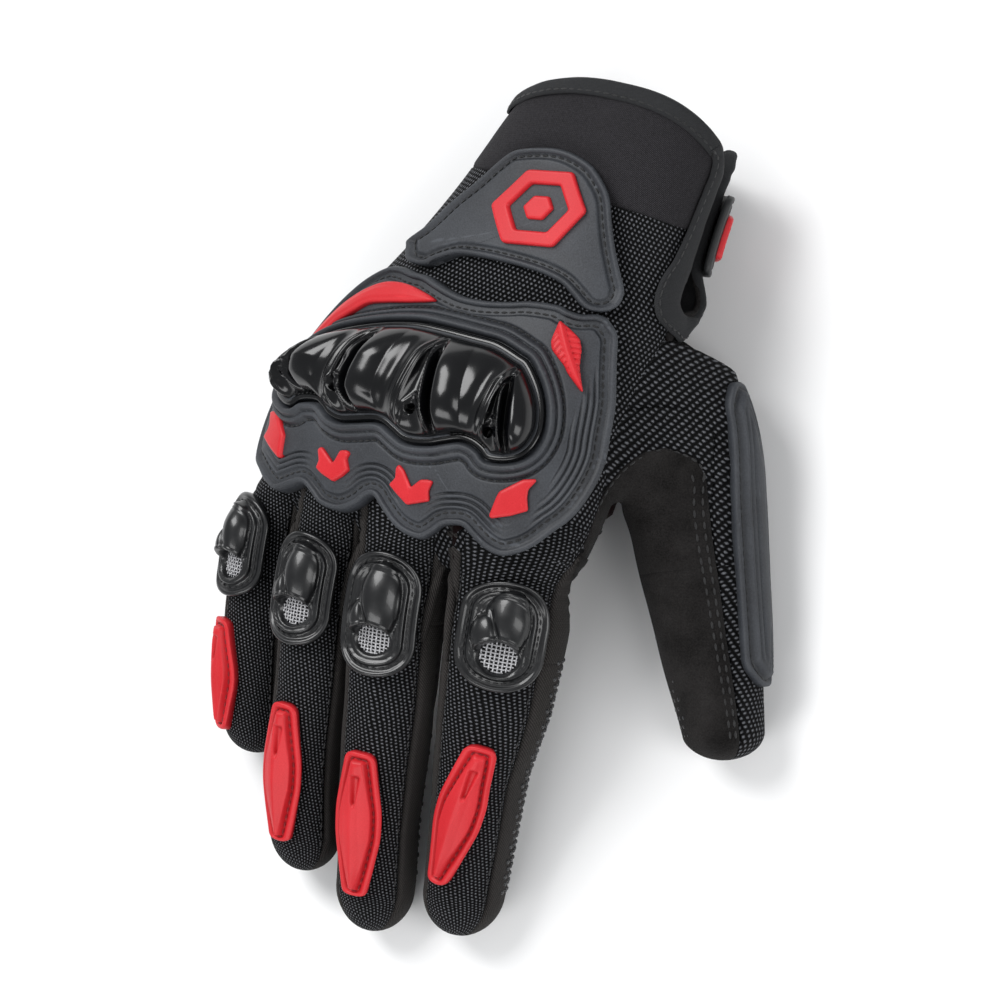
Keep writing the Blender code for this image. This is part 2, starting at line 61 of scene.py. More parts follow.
# y, centre x, half width, centre z, half depth, roll in degrees
HAND = np.array((
    (-28, 0, 48, 32, 15.5, 15),
    (-12, 1, 49, 32, 18.5, 15),
    (0, 2, 48.5, 31.5, 20, 15),
    (12, 3.5, 46.5, 30, 21, 14.5),
    (27, 6.5, 43, 29, 20.5, 13),
    (42, 11, 39, 28, 20.5, 11),
    (60, 14.4, 32.7, 28.7, 19.8, 8),
    (80, 18.5, 28.3, 29, 20, 5),
    (98, 23.8, 25, 29, 20.3, 4),
))

# A finger's fuller side at a valley: how far along the finger, and by how much
VALLEY_FILL = ((0, 0.6), (14, 1.9), (40, 1.7), (62, 0.6), (75, 0))

# path: x, y, z, half width, half depth. capsule and slider: start, length, lean in degrees. width and
# slider_width: how wide they are. turn: how far the slider is turned. hand: the degrees of the hand's back and
# palm that the finger's root grows out of, each from its little-finger side to its thumb side. fill: how much
# fuller the finger is on its thumb's side (1) or its little finger's side (-1)
FINGERS = {
    "index": {
        "path": ((29, -27, 35, 14, 12), (31, -45, 33.5, 13.2, 11.6), (32, -62, 28.5, 12.2, 11),
                 (32.3, -86, 19, 11.2, 10.2), (33, -108, 11.2, 10.4, 9.6), (33.6, -119.5, 9, 0, 0)),
        "capsule": (2.4, 24.8, 13), "width": 16.8, "hand": (18, 90, 90, 158),
        "slider": (5.5, 40, -2), "slider_width": 10.2, "turn": 8,
        "fill": {-1: VALLEY_FILL, 1: ((0, 1), (12, 3), (35, 2.4), (52, 0))},
    },
    "middle": {
        "path": ((0, -27, 35, 11.2, 11.5), (1.2, -45, 33.5, 11, 11), (4.4, -68, 28, 10.8, 10.5),
                 (6.8, -92, 19, 10.5, 10), (9.8, -114, 10.8, 10, 9.5), (11.3, -125.5, 9, 0, 0)),
        "capsule": (4.5, 29, -3), "width": 17, "hand": (-7, 18, 162, 187),
        "slider": (10.5, 39.5, -7), "slider_width": 10.8, "turn": 0,
        "fill": {1: VALLEY_FILL},
    },
    "ring": {
        "path": ((-22, -27, 30.5, 9.8, 10.5), (-20.5, -48, 28.5, 9.7, 10.2), (-18, -67, 24.5, 9.6, 10),
                 (-15.9, -90, 16.5, 9.4, 9.5), (-13, -106, 10.8, 9.2, 9.2), (-11.2, -116.5, 9, 0, 0)),
        "capsule": (5.5, 27, -13), "width": 16.5, "hand": (-32, -8, 188, 212),
        "slider": (6, 38, -14), "slider_width": 10, "turn": 0,
        "fill": {},
    },
    "little": {
        "path": ((-43, -27, 21, 8.9, 10), (-41.9, -42, 20, 8.7, 9.6), (-40.2, -56, 17.5, 8.6, 9.2),
                 (-37.3, -74, 12.2, 8.4, 8.8), (-35.1, -84, 9.9, 8.2, 8.5), (-33.8, -92, 8.8, 0, 0)),
        "capsule": (1, 25, -28), "width": 15.5, "hand": (-90, -33, 213, 270),
        "slider": (2.5, 30, -42), "slider_width": 10.5, "turn": 0,
        "fill": {},
    },
}
THUMB_PATH = ((50.5, 34, 20, 12, 11.5), (57, 19, 18, 14, 12.5), (62.5, 0.5, 16.5, 16.5, 12.5),
              (72, -21, 14, 14, 11.8), (80.5, -38.5, 12.2, 11.8, 10.6), (86, -50, 11, 10, 9.6),
              (88.6, -56.5, 10, 0, 0))
THUMB_BEND = 3
THUMB_LEAN = 37
THUMB_ROOT = Vector((52, 34, 19))
THUMB_FLEX = Vector((-0.8, 0, -0.6))
THUMB_FLANK = (92, 14.5)  # degrees and y on the hand, where the thumb grows out

# Outlines on the hand's back: degrees round the hand, then y
GUARD = (
    (-65, -19.5), (-54, -22.5), (-47, -24.5), (-39, -26), (-33, -24.5), (-27, -22.5), (-24, -22.5),
    (-20.5, -24), (-16, -26), (-9.5, -26), (-5, -23.5), (-2.5, -20.5), (-1, -20), (0.5, -22), (4, -25),
    (8, -26.5), (13, -26.5), (16.5, -24), (18.5, -22), (21, -21), (25, -20.5), (29, -22), (35, -24),
    (42, -24.5), (49, -22.5), (55, -19.5), (60.5, -15.5), (66.5, -11.5), (71, -7), (74.5, -1), (75.5, 5),
    (73.5, 10.5), (70, 18), (66, 23), (57.5, 32), (53, 36), (48, 38), (44.5, 39), (40, 39), (34.5, 38),
    (29, 38), (24, 38.5), (14.5, 37.5), (9, 36), (2.5, 34.5), (-2, 34), (-7, 34.5), (-13, 35.5),
    (-19, 36.5), (-25, 36.5), (-33, 37), (-41, 36), (-50, 31.5), (-58, 24), (-64, 15), (-68, 6),
    (-70, -4), (-70, -12),
)
SHELL = (
    (-52, -2), (-43, -4.5), (-37.5, -4.5), (-33.5, -2.5), (-26.5, -1.5), (-22.5, -2.5), (-19, -4),
    (-14.5, -4.5), (-10, -3.5), (-5, -2), (-2.5, -2), (-0.5, -3), (2, -4.5), (5, -4.5), (9, -3.5),
    (12.5, -2), (16.5, -0.5), (20, -0.5), (23.5, -1.5), (26.5, -3), (31.5, -2.5), (36, -1), (39, 1),
    (41, 4), (41.5, 8), (39.5, 12.5), (36, 16.5), (31.5, 20), (26.5, 23), (22.5, 24), (14.5, 25.5),
    (7.5, 25.5), (-4, 25), (-10.5, 24), (-20.5, 21.5), (-34, 17.5), (-44, 13.5), (-51, 9), (-54, 4),
)
CRESCENT = (
    (-52, 14), (-50, 19), (-45.5, 24.5), (-39, 29), (-32, 32), (-24, 33), (-16, 32.5), (-8.5, 31),
    (-14.5, 29), (-25, 27), (-32, 25.5), (-36.5, 22.5), (-41.5, 19), (-45, 15),
)
CRESCENT_MIDDLE = (-38, 27)
CUFF_PAD = (
    (-44.5, 42), (-48, 44), (-41.5, 49), (-37, 56), (-30.5, 62.5), (-26, 68), (-21.5, 72), (-14, 74),
    (-4.5, 75.5), (1.5, 75.5), (10, 74), (18, 71), (24.5, 67.5), (30.5, 62), (37.5, 55.5), (44, 50),
    (48, 46.5), (48, 43), (44, 40.5), (38, 39.5), (32.5, 40), (26.5, 42), (20, 44), (10.5, 45), (0, 45),
    (-8, 44.5), (-16, 43.5), (-22, 41), (-25, 39), (-30, 38.5), (-37, 39),
)
CHEVRONS = {
    "little": ((-53, -7), (-47.5, -7.5), (-41.5, -10.5), (-39, -12), (-37.5, -17.5), (-38.5, -18),
               (-44.5, -16.5), (-54.5, -14), (-52, -12), (-52, -10.5), (-56, -7.5)),
    "ring": ((-20.5, -13), (-19.5, -12), (-17.5, -13), (-14, -15), (-13.5, -14.5), (-12.5, -11.5),
             (-10.5, -11), (-9.5, -11.5), (-10, -13), (-8.5, -15.5), (-10, -17.5), (-12.5, -19.5),
             (-17, -18.5), (-19.5, -17.5), (-19, -15.5)),
    "middle": ((2, -11.5), (2.5, -10.5), (4, -11.5), (7, -15), (9, -12.5), (11, -12), (12.5, -12),
               (12, -14.5), (13, -17), (7, -19.5), (3.5, -17.5), (1.5, -16), (2.5, -14)),
    "index": ((33, -16), (34, -16.5), (40.5, -14.5), (46.5, -12), (44.5, -9), (44, -7), (46, -4.5),
              (45.5, -4), (41, -5), (34, -9.5), (33.5, -11)),
}
CHEVRON_MIDDLES = {"little": (-46, -12.5), "ring": (-14, -17), "middle": (7, -17), "index": (40, -9.5)}
BADGE = ((28, 35), (30, 34.5), (34, 33.5), (39, 32), (42, 29.5), (44.5, 25.5), (50.5, 19.5), (41.5, 23),
         (39, 24.5), (31.5, 27.5), (29.5, 29.5))


# ---------------------------------------------------------------- curves and surfaces


def smooth(table, at):
    """Rows of a table at values of its first column, on a smooth curve through all rows."""
    at = np.clip(np.asarray(at, float), table[0, 0], table[-1, 0])
    i = np.clip(np.searchsorted(table[:, 0], at, side="right") - 1, 0, len(table) - 2)
    low, high = table[i], table[i + 1]
    before = table[np.maximum(i - 1, 0)]
    after = table[np.minimum(i + 2, len(table) - 1)]
    span = high[..., :1] - low[..., :1]
    t = (at[..., None] - low[..., :1]) / span
    leave = (high - before) / (high[..., :1] - before[..., :1]) * span
    arrive = (after - low) / (after[..., :1] - low[..., :1]) * span
    row = (
        (2 * t**3 - 3 * t**2 + 1) * low + (t**3 - 2 * t**2 + t) * leave
        + (3 * t**2 - 2 * t**3) * high + (t**3 - t**2) * arrive
    )
    return row[..., 1:]


def superellipse(degrees, half_width, half_depth, power):
    angle = np.radians(degrees)
    sine, cosine = np.sin(angle), np.cos(angle)
    across = np.sign(sine) * np.abs(sine) ** (2 / power) * half_width
    up = np.sign(cosine) * np.abs(cosine) ** (2 / power) * half_depth
    return across, up


def hand(degrees, y, out=0.0):
    """Points on the hand's surface, or as far outside it as out says."""
    degrees, y, out = np.broadcast_arrays(*(np.asarray(v, float) for v in (degrees, y, out)))
    x, width, z, depth, roll = np.moveaxis(smooth(HAND, y), -1, 0)
    across, up = superellipse(degrees, np.maximum(width + out, 0.1), np.maximum(depth + out, 0.1), ROUNDNESS)
    roll = np.radians(roll)
    return np.stack((
        x + across * np.cos(roll) - up * np.sin(roll),
        y,
        z + across * np.sin(roll) + up * np.cos(roll),
    ), -1)


def ramp(value, start, end):
    t = np.clip((np.asarray(value, float) - start) / (end - start), 0, 1)
    return t * t * (3 - 2 * t)


def bead(value, centre, radius):
    """A half round from 0 to 1 and back, centred on a value."""
    return np.sqrt(np.maximum(1 - ((value - centre) / radius) ** 2, 0))


def dip(value, centre, width):
    return np.exp(-(((value - centre) / width) ** 2))


def rounded(depth, radius):
    """The height, from 0 to 1, of a rounded shoulder of that radius."""
    return np.sqrt(1 - (1 - np.clip(depth / radius, 0, 1)) ** 2)


def waves(u, v, size, seed=0.0):
    """A soft uneven field from -1 to 1 with features of about that size."""
    a = np.sin(u / size * 2.1 + seed) * np.cos(v / size * 1.7 + 2 * seed)
    b = np.sin((u * 0.6 + v * 0.8) / size * 3.3 + 3 * seed)
    c = np.cos((u * 0.9 - v * 0.5) / size * 5.1 + 5 * seed)
    return (a + 0.6 * b + 0.3 * c) / 1.9


class Chart:
    """Turns millimetres round one section of the hand into degrees, and back."""

    def __init__(self, y):
        self.table = np.linspace(-200, 290, 3000)
        steps = np.linalg.norm(np.diff(hand(self.table, y), axis=0), axis=1)
        self.length = np.concatenate(((0.0,), np.cumsum(steps)))
        self.length -= np.interp(0, self.table, self.length)

    def degrees(self, arc):
        return np.interp(arc, self.length, self.table)

    def arc(self, degrees):
        return np.interp(degrees, self.table, self.length)

    def flat(self, outline):
        return np.array([(self.arc(d), y) for d, y in outline])

    def place(self, x, y, out):
        return hand(self.degrees(x), y, out)


class Limb:
    """A finger or thumb: sections along a smooth centre line, bending about one sideways axis."""

    def __init__(self, path, bend, side=None):
        path = np.array(path, float)
        steps = np.linalg.norm(np.diff(path[:, :3], axis=0), axis=1)
        self.length = np.concatenate(((0.0,), np.cumsum(steps)))
        self.table = np.column_stack((self.length, path))
        run = path[bend, :3] - path[0, :3]
        flat = np.array((-run[1], run[0], 0))
        self.side = np.array(side) if side is not None else flat / np.linalg.norm(flat)
        self.middle, self.dome, self.end = self.length[bend], self.length[-2], self.length[-1]

    def frame(self, along):
        along = np.asarray(along, float)
        centre = smooth(self.table, along)[..., :3]
        ahead = smooth(self.table, np.clip(along + 1, 1, self.end))[..., :3]
        behind = smooth(self.table, np.clip(along - 1, 0, self.end - 1))[..., :3]
        tangent = ahead - behind
        tangent /= np.linalg.norm(tangent, axis=-1, keepdims=True)
        centre = centre + tangent * np.minimum(along, 0)[..., None]
        up = np.cross(tangent, self.side)
        return centre, tangent, up / np.linalg.norm(up, axis=-1, keepdims=True)

    def size(self, along):
        along = np.asarray(along, float)
        size = smooth(self.table[:-1], along)[..., 3:]
        t = np.clip((along - self.dome) / (self.end - self.dome), 0, 1)
        return size * np.sqrt(np.maximum(1 - t * t, 0))[..., None]

    def point(self, degrees, along, out=0.0):
        degrees, along, out = np.broadcast_arrays(*(np.asarray(v, float) for v in (degrees, along, out)))
        centre, _, up = self.frame(along)
        width, depth = np.moveaxis(self.size(along), -1, 0)
        across, rise = superellipse(degrees, np.maximum(width + out, 0.02), np.maximum(depth + out, 0.02),
                                    LIMB_ROUNDNESS)
        return centre + self.side * across[..., None] + up * rise[..., None]

    def pad(self, start, length, lean, surface=None):
        """The place of a pad's drawing on the limb: its x goes round the limb and its y towards the wrist."""
        surface = surface or self.point

        def place(x, y, out):
            along = start + length / 2 - y
            mean = self.size(np.clip(along, 0, self.dome)).mean(-1)
            return surface(lean + np.degrees(x / mean), along, out)

        return place


class Finger(Limb):
    """A finger whose root grows smoothly out of the hand's surface."""

    ROOT = (-9, 10)

    def __init__(self, spec):
        super().__init__(spec["path"], 2)
        self.hand_degrees = spec["hand"]
        self.fill = {way: np.array(spec["fill"].get(way, ((0, 0), (1, 0)))).T for way in (-1, 1)}

    def spread(self, along, way):
        """How much fuller the finger is on its thumb side (way 1) or its little finger's side (way -1)."""
        places, amounts = self.fill[way]
        return np.interp(along, places, amounts)

    def point(self, degrees, along, out=0.0):
        degrees, along, out = np.broadcast_arrays(*(np.asarray(v, float) for v in (degrees, along, out)))
        own = super().point(degrees, along, out)
        low, high, palm_high, palm_low = self.hand_degrees
        turn = (degrees + 90) % 360 - 90
        lean = np.sin(np.radians(degrees))
        fuller = np.where(lean > 0, self.spread(along, 1), self.spread(along, -1))
        own = own + self.side * (lean * fuller)[..., None]
        y = self.frame(along)[0][..., 1]
        on_back = np.interp(turn, (-90, -60, 60, 90), (low, low, high, high))
        on_palm = np.interp(turn, (90, 120, 240, 270), (palm_high, palm_high, palm_low, palm_low))
        back, palm = hand(on_back, y, out + 0.35), hand(on_palm, y, out + 0.35)
        share = np.interp(turn, (-90, -60, 60, 120, 240, 270), (0.5, 0, 0, 1, 1, 0.5))[..., None]
        root = back * (1 - share) + palm * share
        mix = 1 - ramp(along, *self.ROOT)[..., None]
        return own * (1 - mix) + root * mix


class Thumb(Limb):
    """The thumb, whose root spreads out over the hand's flank."""

    def point(self, degrees, along, out=0.0):
        degrees, along, out = np.broadcast_arrays(*(np.asarray(v, float) for v in (degrees, along, out)))
        own = super().point(degrees, along, out)
        turn = np.radians(degrees)
        sine = np.sin(turn)
        y = THUMB_FLANK[1] + 24 * np.maximum(sine, 0) + 33 * np.minimum(sine, 0)
        root = hand(THUMB_FLANK[0] - 30 * np.cos(turn), y, out + 0.3)
        reach = 22 - 19 * np.maximum(np.sin(turn + 0.5), 0) - 26 * np.minimum(sine, 0)
        mix = 1 - ramp(along, -7, reach)[..., None]
        return own * (1 - mix) + root * mix


def resample(points, count, closed=True):
    """Evenly spaced points along a polyline."""
    points = np.asarray(points, float)
    if closed:
        points = np.vstack((points, points[:1]))
    steps = np.linalg.norm(np.diff(points, axis=0), axis=1)
    length = np.concatenate(((0.0,), np.cumsum(steps)))
    at = np.linspace(0, length[-1], count, endpoint=not closed)
    return np.column_stack([np.interp(at, length, points[:, k]) for k in range(points.shape[1])])


def curve_through(points, count):
    """A smooth closed outline through points."""
    points = np.asarray(points, float)
    t = np.linspace(0, 1, 24, endpoint=False)[:, None]
    found = []
    for i in range(len(points)):
        a, b, c, d = (points[(i + k) % len(points)] for k in (-1, 0, 1, 2))
        found.append(0.5 * (2 * b + (c - a) * t + (2 * a - 5 * b + 4 * c - d) * t**2
                            + (3 * b - a - 3 * c + d) * t**3))
    return resample(np.vstack(found), count)


def filleted(points, radius, count):
    """A closed outline with a small round at each corner."""
    points = np.asarray(points, float)
    t = np.linspace(0, 1, 7)[:, None]
    found = []
    for before, corner, after in zip(np.roll(points, 1, 0), points, np.roll(points, -1, 0)):
        back, ahead = before - corner, after - corner
        first, last = np.linalg.norm(back), np.linalg.norm(ahead)
        start = corner + back / first * min(radius, first * 0.45)
        end = corner + ahead / last * min(radius, last * 0.45)
        found.append((1 - t) ** 2 * start + 2 * t * (1 - t) * corner + t**2 * end)
    return resample(np.vstack(found), count)


def stadium(length, width, count):
    angle = np.linspace(0, 2 * np.pi, 241)[:-1]
    radius = width / 2
    y = radius * np.sin(angle) + np.sign(np.sin(angle)) * (length / 2 - radius)
    return resample(np.column_stack((radius * np.cos(angle), y)), count)


def long_hexagon(length, width, turn, count):
    """A long pad turned by some degrees, widest just above its middle, tapering straight to narrow ends."""
    half, end = length / 2, width / 2
    outline = filleted(((end * 0.58, half), (end, half * 0.2), (end, -half * 0.12), (end * 0.45, -half),
                        (-end * 0.45, -half), (-end, -half * 0.12), (-end, half * 0.2), (-end * 0.58, half)),
                       2.2, count)
    sine, cosine = math.sin(math.radians(turn)), math.cos(math.radians(turn))
    return outline @ np.array(((cosine, -sine), (sine, cosine)))


def inside_distance(points, outline):
    """How far each point is from a closed outline."""
    flat = points.reshape(-1, 2)
    best = np.full(len(flat), np.inf)
    for a, b in zip(outline, np.roll(outline, -1, 0)):
        run = b - a
        t = np.clip((flat - a) @ run / max(run @ run, 1e-12), 0, 1)
        away = flat - a - t[:, None] * run
        best = np.minimum(best, (away**2).sum(1))
    return np.sqrt(best).reshape(points.shape[:-1])


def line_distance(x, y, line):
    """How far each point is from an open polyline."""
    best = np.full(np.shape(x), np.inf)
    for (ax, ay), (bx, by) in zip(line, line[1:]):
        rx, ry = bx - ax, by - ay
        t = np.clip(((x - ax) * rx + (y - ay) * ry) / (rx * rx + ry * ry), 0, 1)
        best = np.minimum(best, np.hypot(x - ax - t * rx, y - ay - t * ry))
    return best


# ---------------------------------------------------------------- materials


class Shade:
    """One procedural material; its patterns are drawn in millimetres on the piece's own surface map."""

    def __init__(self, name, roughness=0.5, specular=0.5, sheen=0.0, coat=0.0, metallic=0.0):
        self.material = bpy.data.materials.new(name)
        self.material.use_nodes = True
        self.tree = self.material.node_tree
        self.shader = self.tree.nodes["Principled BSDF"]
        self.shader.inputs["Roughness"].default_value = roughness
        self.shader.inputs["Specular IOR Level"].default_value = specular
        self.shader.inputs["Sheen Weight"].default_value = sheen
        self.shader.inputs["Sheen Roughness"].default_value = 0.45
        self.shader.inputs["Coat Weight"].default_value = coat
        self.shader.inputs["Coat Roughness"].default_value = 0.06
        self.shader.inputs["Metallic"].default_value = metallic

    def link(self, value, socket):
        if isinstance(value, (int, float)):
            socket.default_value = value
        else:
            self.tree.links.new(value, socket)

    def math(self, operation, a, b=0.0, c=0.0):
        node = self.tree.nodes.new("ShaderNodeMath")
        node.operation = operation
        for value, socket in zip((a, b, c), node.inputs):
            self.link(value, socket)
        return node.outputs[0]

    def surface(self, turn=0.0):
        """The surface map's two coordinates, turned by some degrees."""
        node = self.tree.nodes.new("ShaderNodeUVMap")
        node.uv_map = "surface"
        mapping = self.tree.nodes.new("ShaderNodeMapping")
        mapping.inputs["Rotation"].default_value[2] = math.radians(turn)
        self.tree.links.new(node.outputs[0], mapping.inputs[0])
        split = self.tree.nodes.new("ShaderNodeSeparateXYZ")
        self.tree.links.new(mapping.outputs[0], split.inputs[0])
        return split.outputs[0], split.outputs[1]

    def noise(self, size_mm, detail=2.0, rough=0.5):
        place = self.tree.nodes.new("ShaderNodeTexCoord")
        node = self.tree.nodes.new("ShaderNodeTexNoise")
        node.inputs["Scale"].default_value = 1 / (size_mm * MM)
        node.inputs["Detail"].default_value = detail
        node.inputs["Roughness"].default_value = rough
        self.tree.links.new(place.outputs["Object"], node.inputs["Vector"])
        return node.outputs[0]

    def ramp(self, value, stops):
        node = self.tree.nodes.new("ShaderNodeValToRGB")
        self.link(value, node.inputs[0])
        elements = node.color_ramp.elements
        while len(elements) < len(stops):
            elements.new(0.5)
        for element, (place, colour) in zip(elements, stops):
            element.position = place
            element.color = (*colour, 1) if isinstance(colour, tuple) else (colour, colour, colour, 1)
        return node.outputs[0]

    def colour(self, value, stops):
        self.tree.links.new(self.ramp(value, stops), self.shader.inputs["Base Color"])

    def roughness(self, value, low, high):
        node = self.tree.nodes.new("ShaderNodeMapRange")
        self.link(value, node.inputs["Value"])
        node.inputs["To Min"].default_value = low
        node.inputs["To Max"].default_value = high
        self.tree.links.new(node.outputs[0], self.shader.inputs["Roughness"])

    def bump(self, height, depth_mm):
        node = self.tree.nodes.new("ShaderNodeBump")
        node.inputs["Distance"].default_value = depth_mm * MM
        node.inputs["Strength"].default_value = 1.0
        self.link(height, node.inputs["Height"])
        if self.shader.inputs["Normal"].links:
            before = self.shader.inputs["Normal"].links[0].from_socket
            self.tree.links.new(before, node.inputs["Normal"])
        self.tree.links.new(node.outputs[0], self.shader.inputs["Normal"])

    def cells(self, u, v, pitch_u, pitch_v):
        """Rows of rounded stitches, each row shifted against the last: 0 between them, 1 on top."""
        x = self.math("DIVIDE", u, pitch_u)
        y = self.math("DIVIDE", v, pitch_v)
        row = self.math("MODULO", self.math("FLOOR", x), 2.0)
        y = self.math("MULTIPLY_ADD", row, 0.5, y)
        a = self.math("ABSOLUTE", self.math("SINE", self.math("MULTIPLY", x, math.pi)))
        b = self.math("ABSOLUTE", self.math("SINE", self.math("MULTIPLY", y, math.pi)))
        return a, b


def knit(name, pitch_u, pitch_v, turn, loops):
    """Open sandwich mesh: ribs of small loops over a dark ground; the colour paints highlights on the loops'
    tops and deepens the ground between them as painted shade.
    """
    shade = Shade(name, specular=0.12)
    u, v = shade.surface(turn)
    drift = shade.math("MULTIPLY", shade.noise(2.2, 1.0), 0.5)
    rib, loop = shade.cells(shade.math("ADD", u, drift), shade.math("ADD", v, drift), pitch_u, pitch_v)
    loop = shade.math("MULTIPLY_ADD", loop, loops, 1 - loops)
    height = shade.math("MULTIPLY", shade.math("POWER", rib, 0.8), loop)
    fuzz = shade.noise(0.35, 3.0, 0.7)
    peaks = shade.math("POWER", height, 1.8)
    # Painted light: the loops' tops get painted highlights up to 0.14, scattered by fuzz like glints, and the
    # ground between them painted shade near black.
    painted_loop_light = shade.math("MULTIPLY", peaks, shade.math("MULTIPLY_ADD", fuzz, 1.7, 0.15))
    shade.colour(painted_loop_light, ((0.0, 0.001), (0.25, (0.003, 0.003, 0.0035)), (0.5, (0.017, 0.018, 0.021)),
                       (0.9, (0.14, 0.144, 0.156))))
    shade.roughness(height, 0.9, 0.5)
    shade.bump(shade.math("MULTIPLY_ADD", fuzz, 0.35, height), 0.8)
    return shade.material


def napped(name, dark, light, grain, depth=0.22):
    """Synthetic suede: a short uneven nap with soft lighter patches."""
    shade = Shade(name, roughness=0.95, specular=0.06, sheen=0.03)
    fine, coarse = shade.noise(grain, 4.0, 0.75), shade.noise(9.0, 2.0)
    mixed = shade.math("MULTIPLY_ADD", coarse, 0.45, shade.math("MULTIPLY", fine, 0.75))
    shade.colour(mixed, ((0.42, dark), (0.6, tuple((a + b) / 2 for a, b in zip(dark, light))), (0.78, light)))
    shade.bump(fine, depth)
    shade.bump(shade.noise(1.4, 2.0), 0.18)
    return shade.material


def jersey(name, pitch, turn, dark, light, depth, specular=0.1):
    """Fine ribbed or twilled cloth."""
    shade = Shade(name, roughness=0.85, specular=specular, sheen=0.02)
    u, v = shade.surface(turn)
    line, knot = shade.cells(u, v, pitch, pitch * 1.5)
    weave = shade.math("MULTIPLY", line, shade.math("MULTIPLY_ADD", knot, 0.35, 0.65))
    fine = shade.noise(0.5, 2.0, 0.6)
    mixed = shade.math("MULTIPLY_ADD", fine, 0.5, shade.math("MULTIPLY", weave, 0.6))
    shade.colour(mixed, ((0.2, dark), (0.9, light)))
    shade.bump(weave, depth)
    shade.bump(shade.noise(6.0, 2.0), 0.25)
    return shade.material


def moulded(name, dark, light, roughness, grain=0.25, depth=0.03, specular=0.4):
    """Satin moulded rubber: fine speckle, slow tone changes, slightly worn and lighter high edges, and painted
    shade darkening its hollows.
    """
    shade = Shade(name, specular=specular)
    fine, slow = shade.noise(grain, 2.0, 0.6), shade.noise(14.0, 3.0)
    # Pointiness lightens high edges as wear and darkens grooves and hollows as painted shade.
    wear_and_hollow_shade = shade.tree.nodes.new("ShaderNodeNewGeometry").outputs["Pointiness"]
    wear_and_hollow_shade = shade.math("MULTIPLY", shade.math("SUBTRACT", wear_and_hollow_shade, 0.5), 2.2)
    mixed = shade.math("MULTIPLY_ADD", slow, 0.5, shade.math("MULTIPLY_ADD", fine, 0.6, -0.05))
    shade.colour(shade.math("ADD", mixed, wear_and_hollow_shade), ((0.25, dark), (0.8, light)))
    shade.roughness(slow, roughness - 0.06, roughness + 0.08)
    shade.bump(fine, depth)
    return shade.material


def polished(name, colour, roughness, coat):
    """Glossy injection-moulded plastic with faint handling haze."""
    shade = Shade(name, specular=0.45, coat=coat)
    haze = shade.noise(5.0, 4.0, 0.6)
    shade.colour(haze, ((0.3, colour), (0.8, tuple(c * 1.6 for c in colour))))
    shade.roughness(haze, roughness * 0.6, roughness * 1.6)
    shade.bump(shade.noise(2.5, 2.0), 0.012)
    return shade.material


def thread(name, dark, light):
    """Twisted sewing thread."""
    shade = Shade(name, roughness=0.55, specular=0.4, sheen=0.1)
    u, v = shade.surface(35)
    twist = shade.math("ABSOLUTE", shade.math("SINE", shade.math("MULTIPLY", u, math.pi / 0.22)))
    shade.colour(twist, ((0.1, dark), (0.9, light)))
    shade.bump(twist, 0.06)
    return shade.material


def wire(name):
    shade = Shade(name, specular=0.5, metallic=0.2)
    fine = shade.noise(0.4, 2.0)
    shade.colour(fine, ((0.3, (0.3, 0.3, 0.31)), (0.7, (0.6, 0.6, 0.62))))
    shade.roughness(fine, 0.3, 0.5)
    return shade.material


def pile(name):
    """Hook and loop tape: dense small tufts."""
    shade = Shade(name, roughness=0.95, specular=0.2, sheen=0.3)
    u, v = shade.surface()
    row, tuft = shade.cells(u, v, 1.1, 1.1)
    height = shade.math("MULTIPLY", row, tuft)
    fuzz = shade.noise(0.3, 4.0, 0.8)
    mixed = shade.math("MULTIPLY_ADD", fuzz, 0.5, shade.math("MULTIPLY", height, 0.5))
    shade.colour(mixed, ((0.3, 0.002), (0.85, (0.03, 0.03, 0.032))))
    shade.bump(mixed, 0.5)
    return shade.material


RED_DARK, RED_LIGHT = (0.45, 0.008, 0.013), (0.6, 0.024, 0.032)
MATERIALS = {
    "hand_knit": knit("hand_knit", 1.5, 1.1, 24, 0.75),
    "finger_knit": knit("finger_knit", 1.1, 0.9, 12, 0.85),
    "suede": napped("suede", (0.004, 0.0037, 0.0036), (0.028, 0.026, 0.0255), 0.4, 0.35),
    "twill": jersey("twill", 0.55, 42, (0.009, 0.0083, 0.008), (0.045, 0.041, 0.039), 0.18),
    "neoprene": jersey("neoprene", 0.42, 30, (0.001, 0.001, 0.001), (0.04, 0.038, 0.042), 0.1),
    "binding": jersey("binding", 0.3, 12, (0.007, 0.0073, 0.008), (0.028, 0.029, 0.031), 0.06, 0.25),
    "lining": napped("lining", (0.003, 0.0015, 0.0015), (0.009, 0.0035, 0.0035), 0.5),
    "rubber": moulded("rubber", (0.01, 0.011, 0.0135), (0.05, 0.055, 0.064), 0.55, 0.4, 0.05),
    "strap_rubber": moulded("strap_rubber", (0.008, 0.008, 0.009), (0.022, 0.023, 0.024), 0.45),
    "gloss": polished("gloss", (0.0015, 0.0016, 0.002), 0.17, 0.0),
    "capsule_gloss": polished("capsule_gloss", (0.003, 0.0032, 0.0037), 0.3, 0.25),
    "red_rubber": moulded("red_rubber", RED_DARK, RED_LIGHT, 0.45, 0.3, 0.02, 0.3),
    "black_thread": thread("black_thread", (0.003, 0.003, 0.003), (0.02, 0.02, 0.021)),
    "red_thread": thread("red_thread", (0.12, 0.002, 0.005), (0.3, 0.008, 0.014)),
    "wire": wire("wire"),
    "foam": napped("foam", (0.01, 0.01, 0.0105), (0.03, 0.03, 0.031), 0.9, 0.3),
    "pile": pile("pile"),
    "silicone": polished("silicone", (0.012, 0.0125, 0.014), 0.25, 0.2),
}


# ---------------------------------------------------------------- meshes


def metres(points):
    return (np.asarray(points, float) - DATUM) * MM


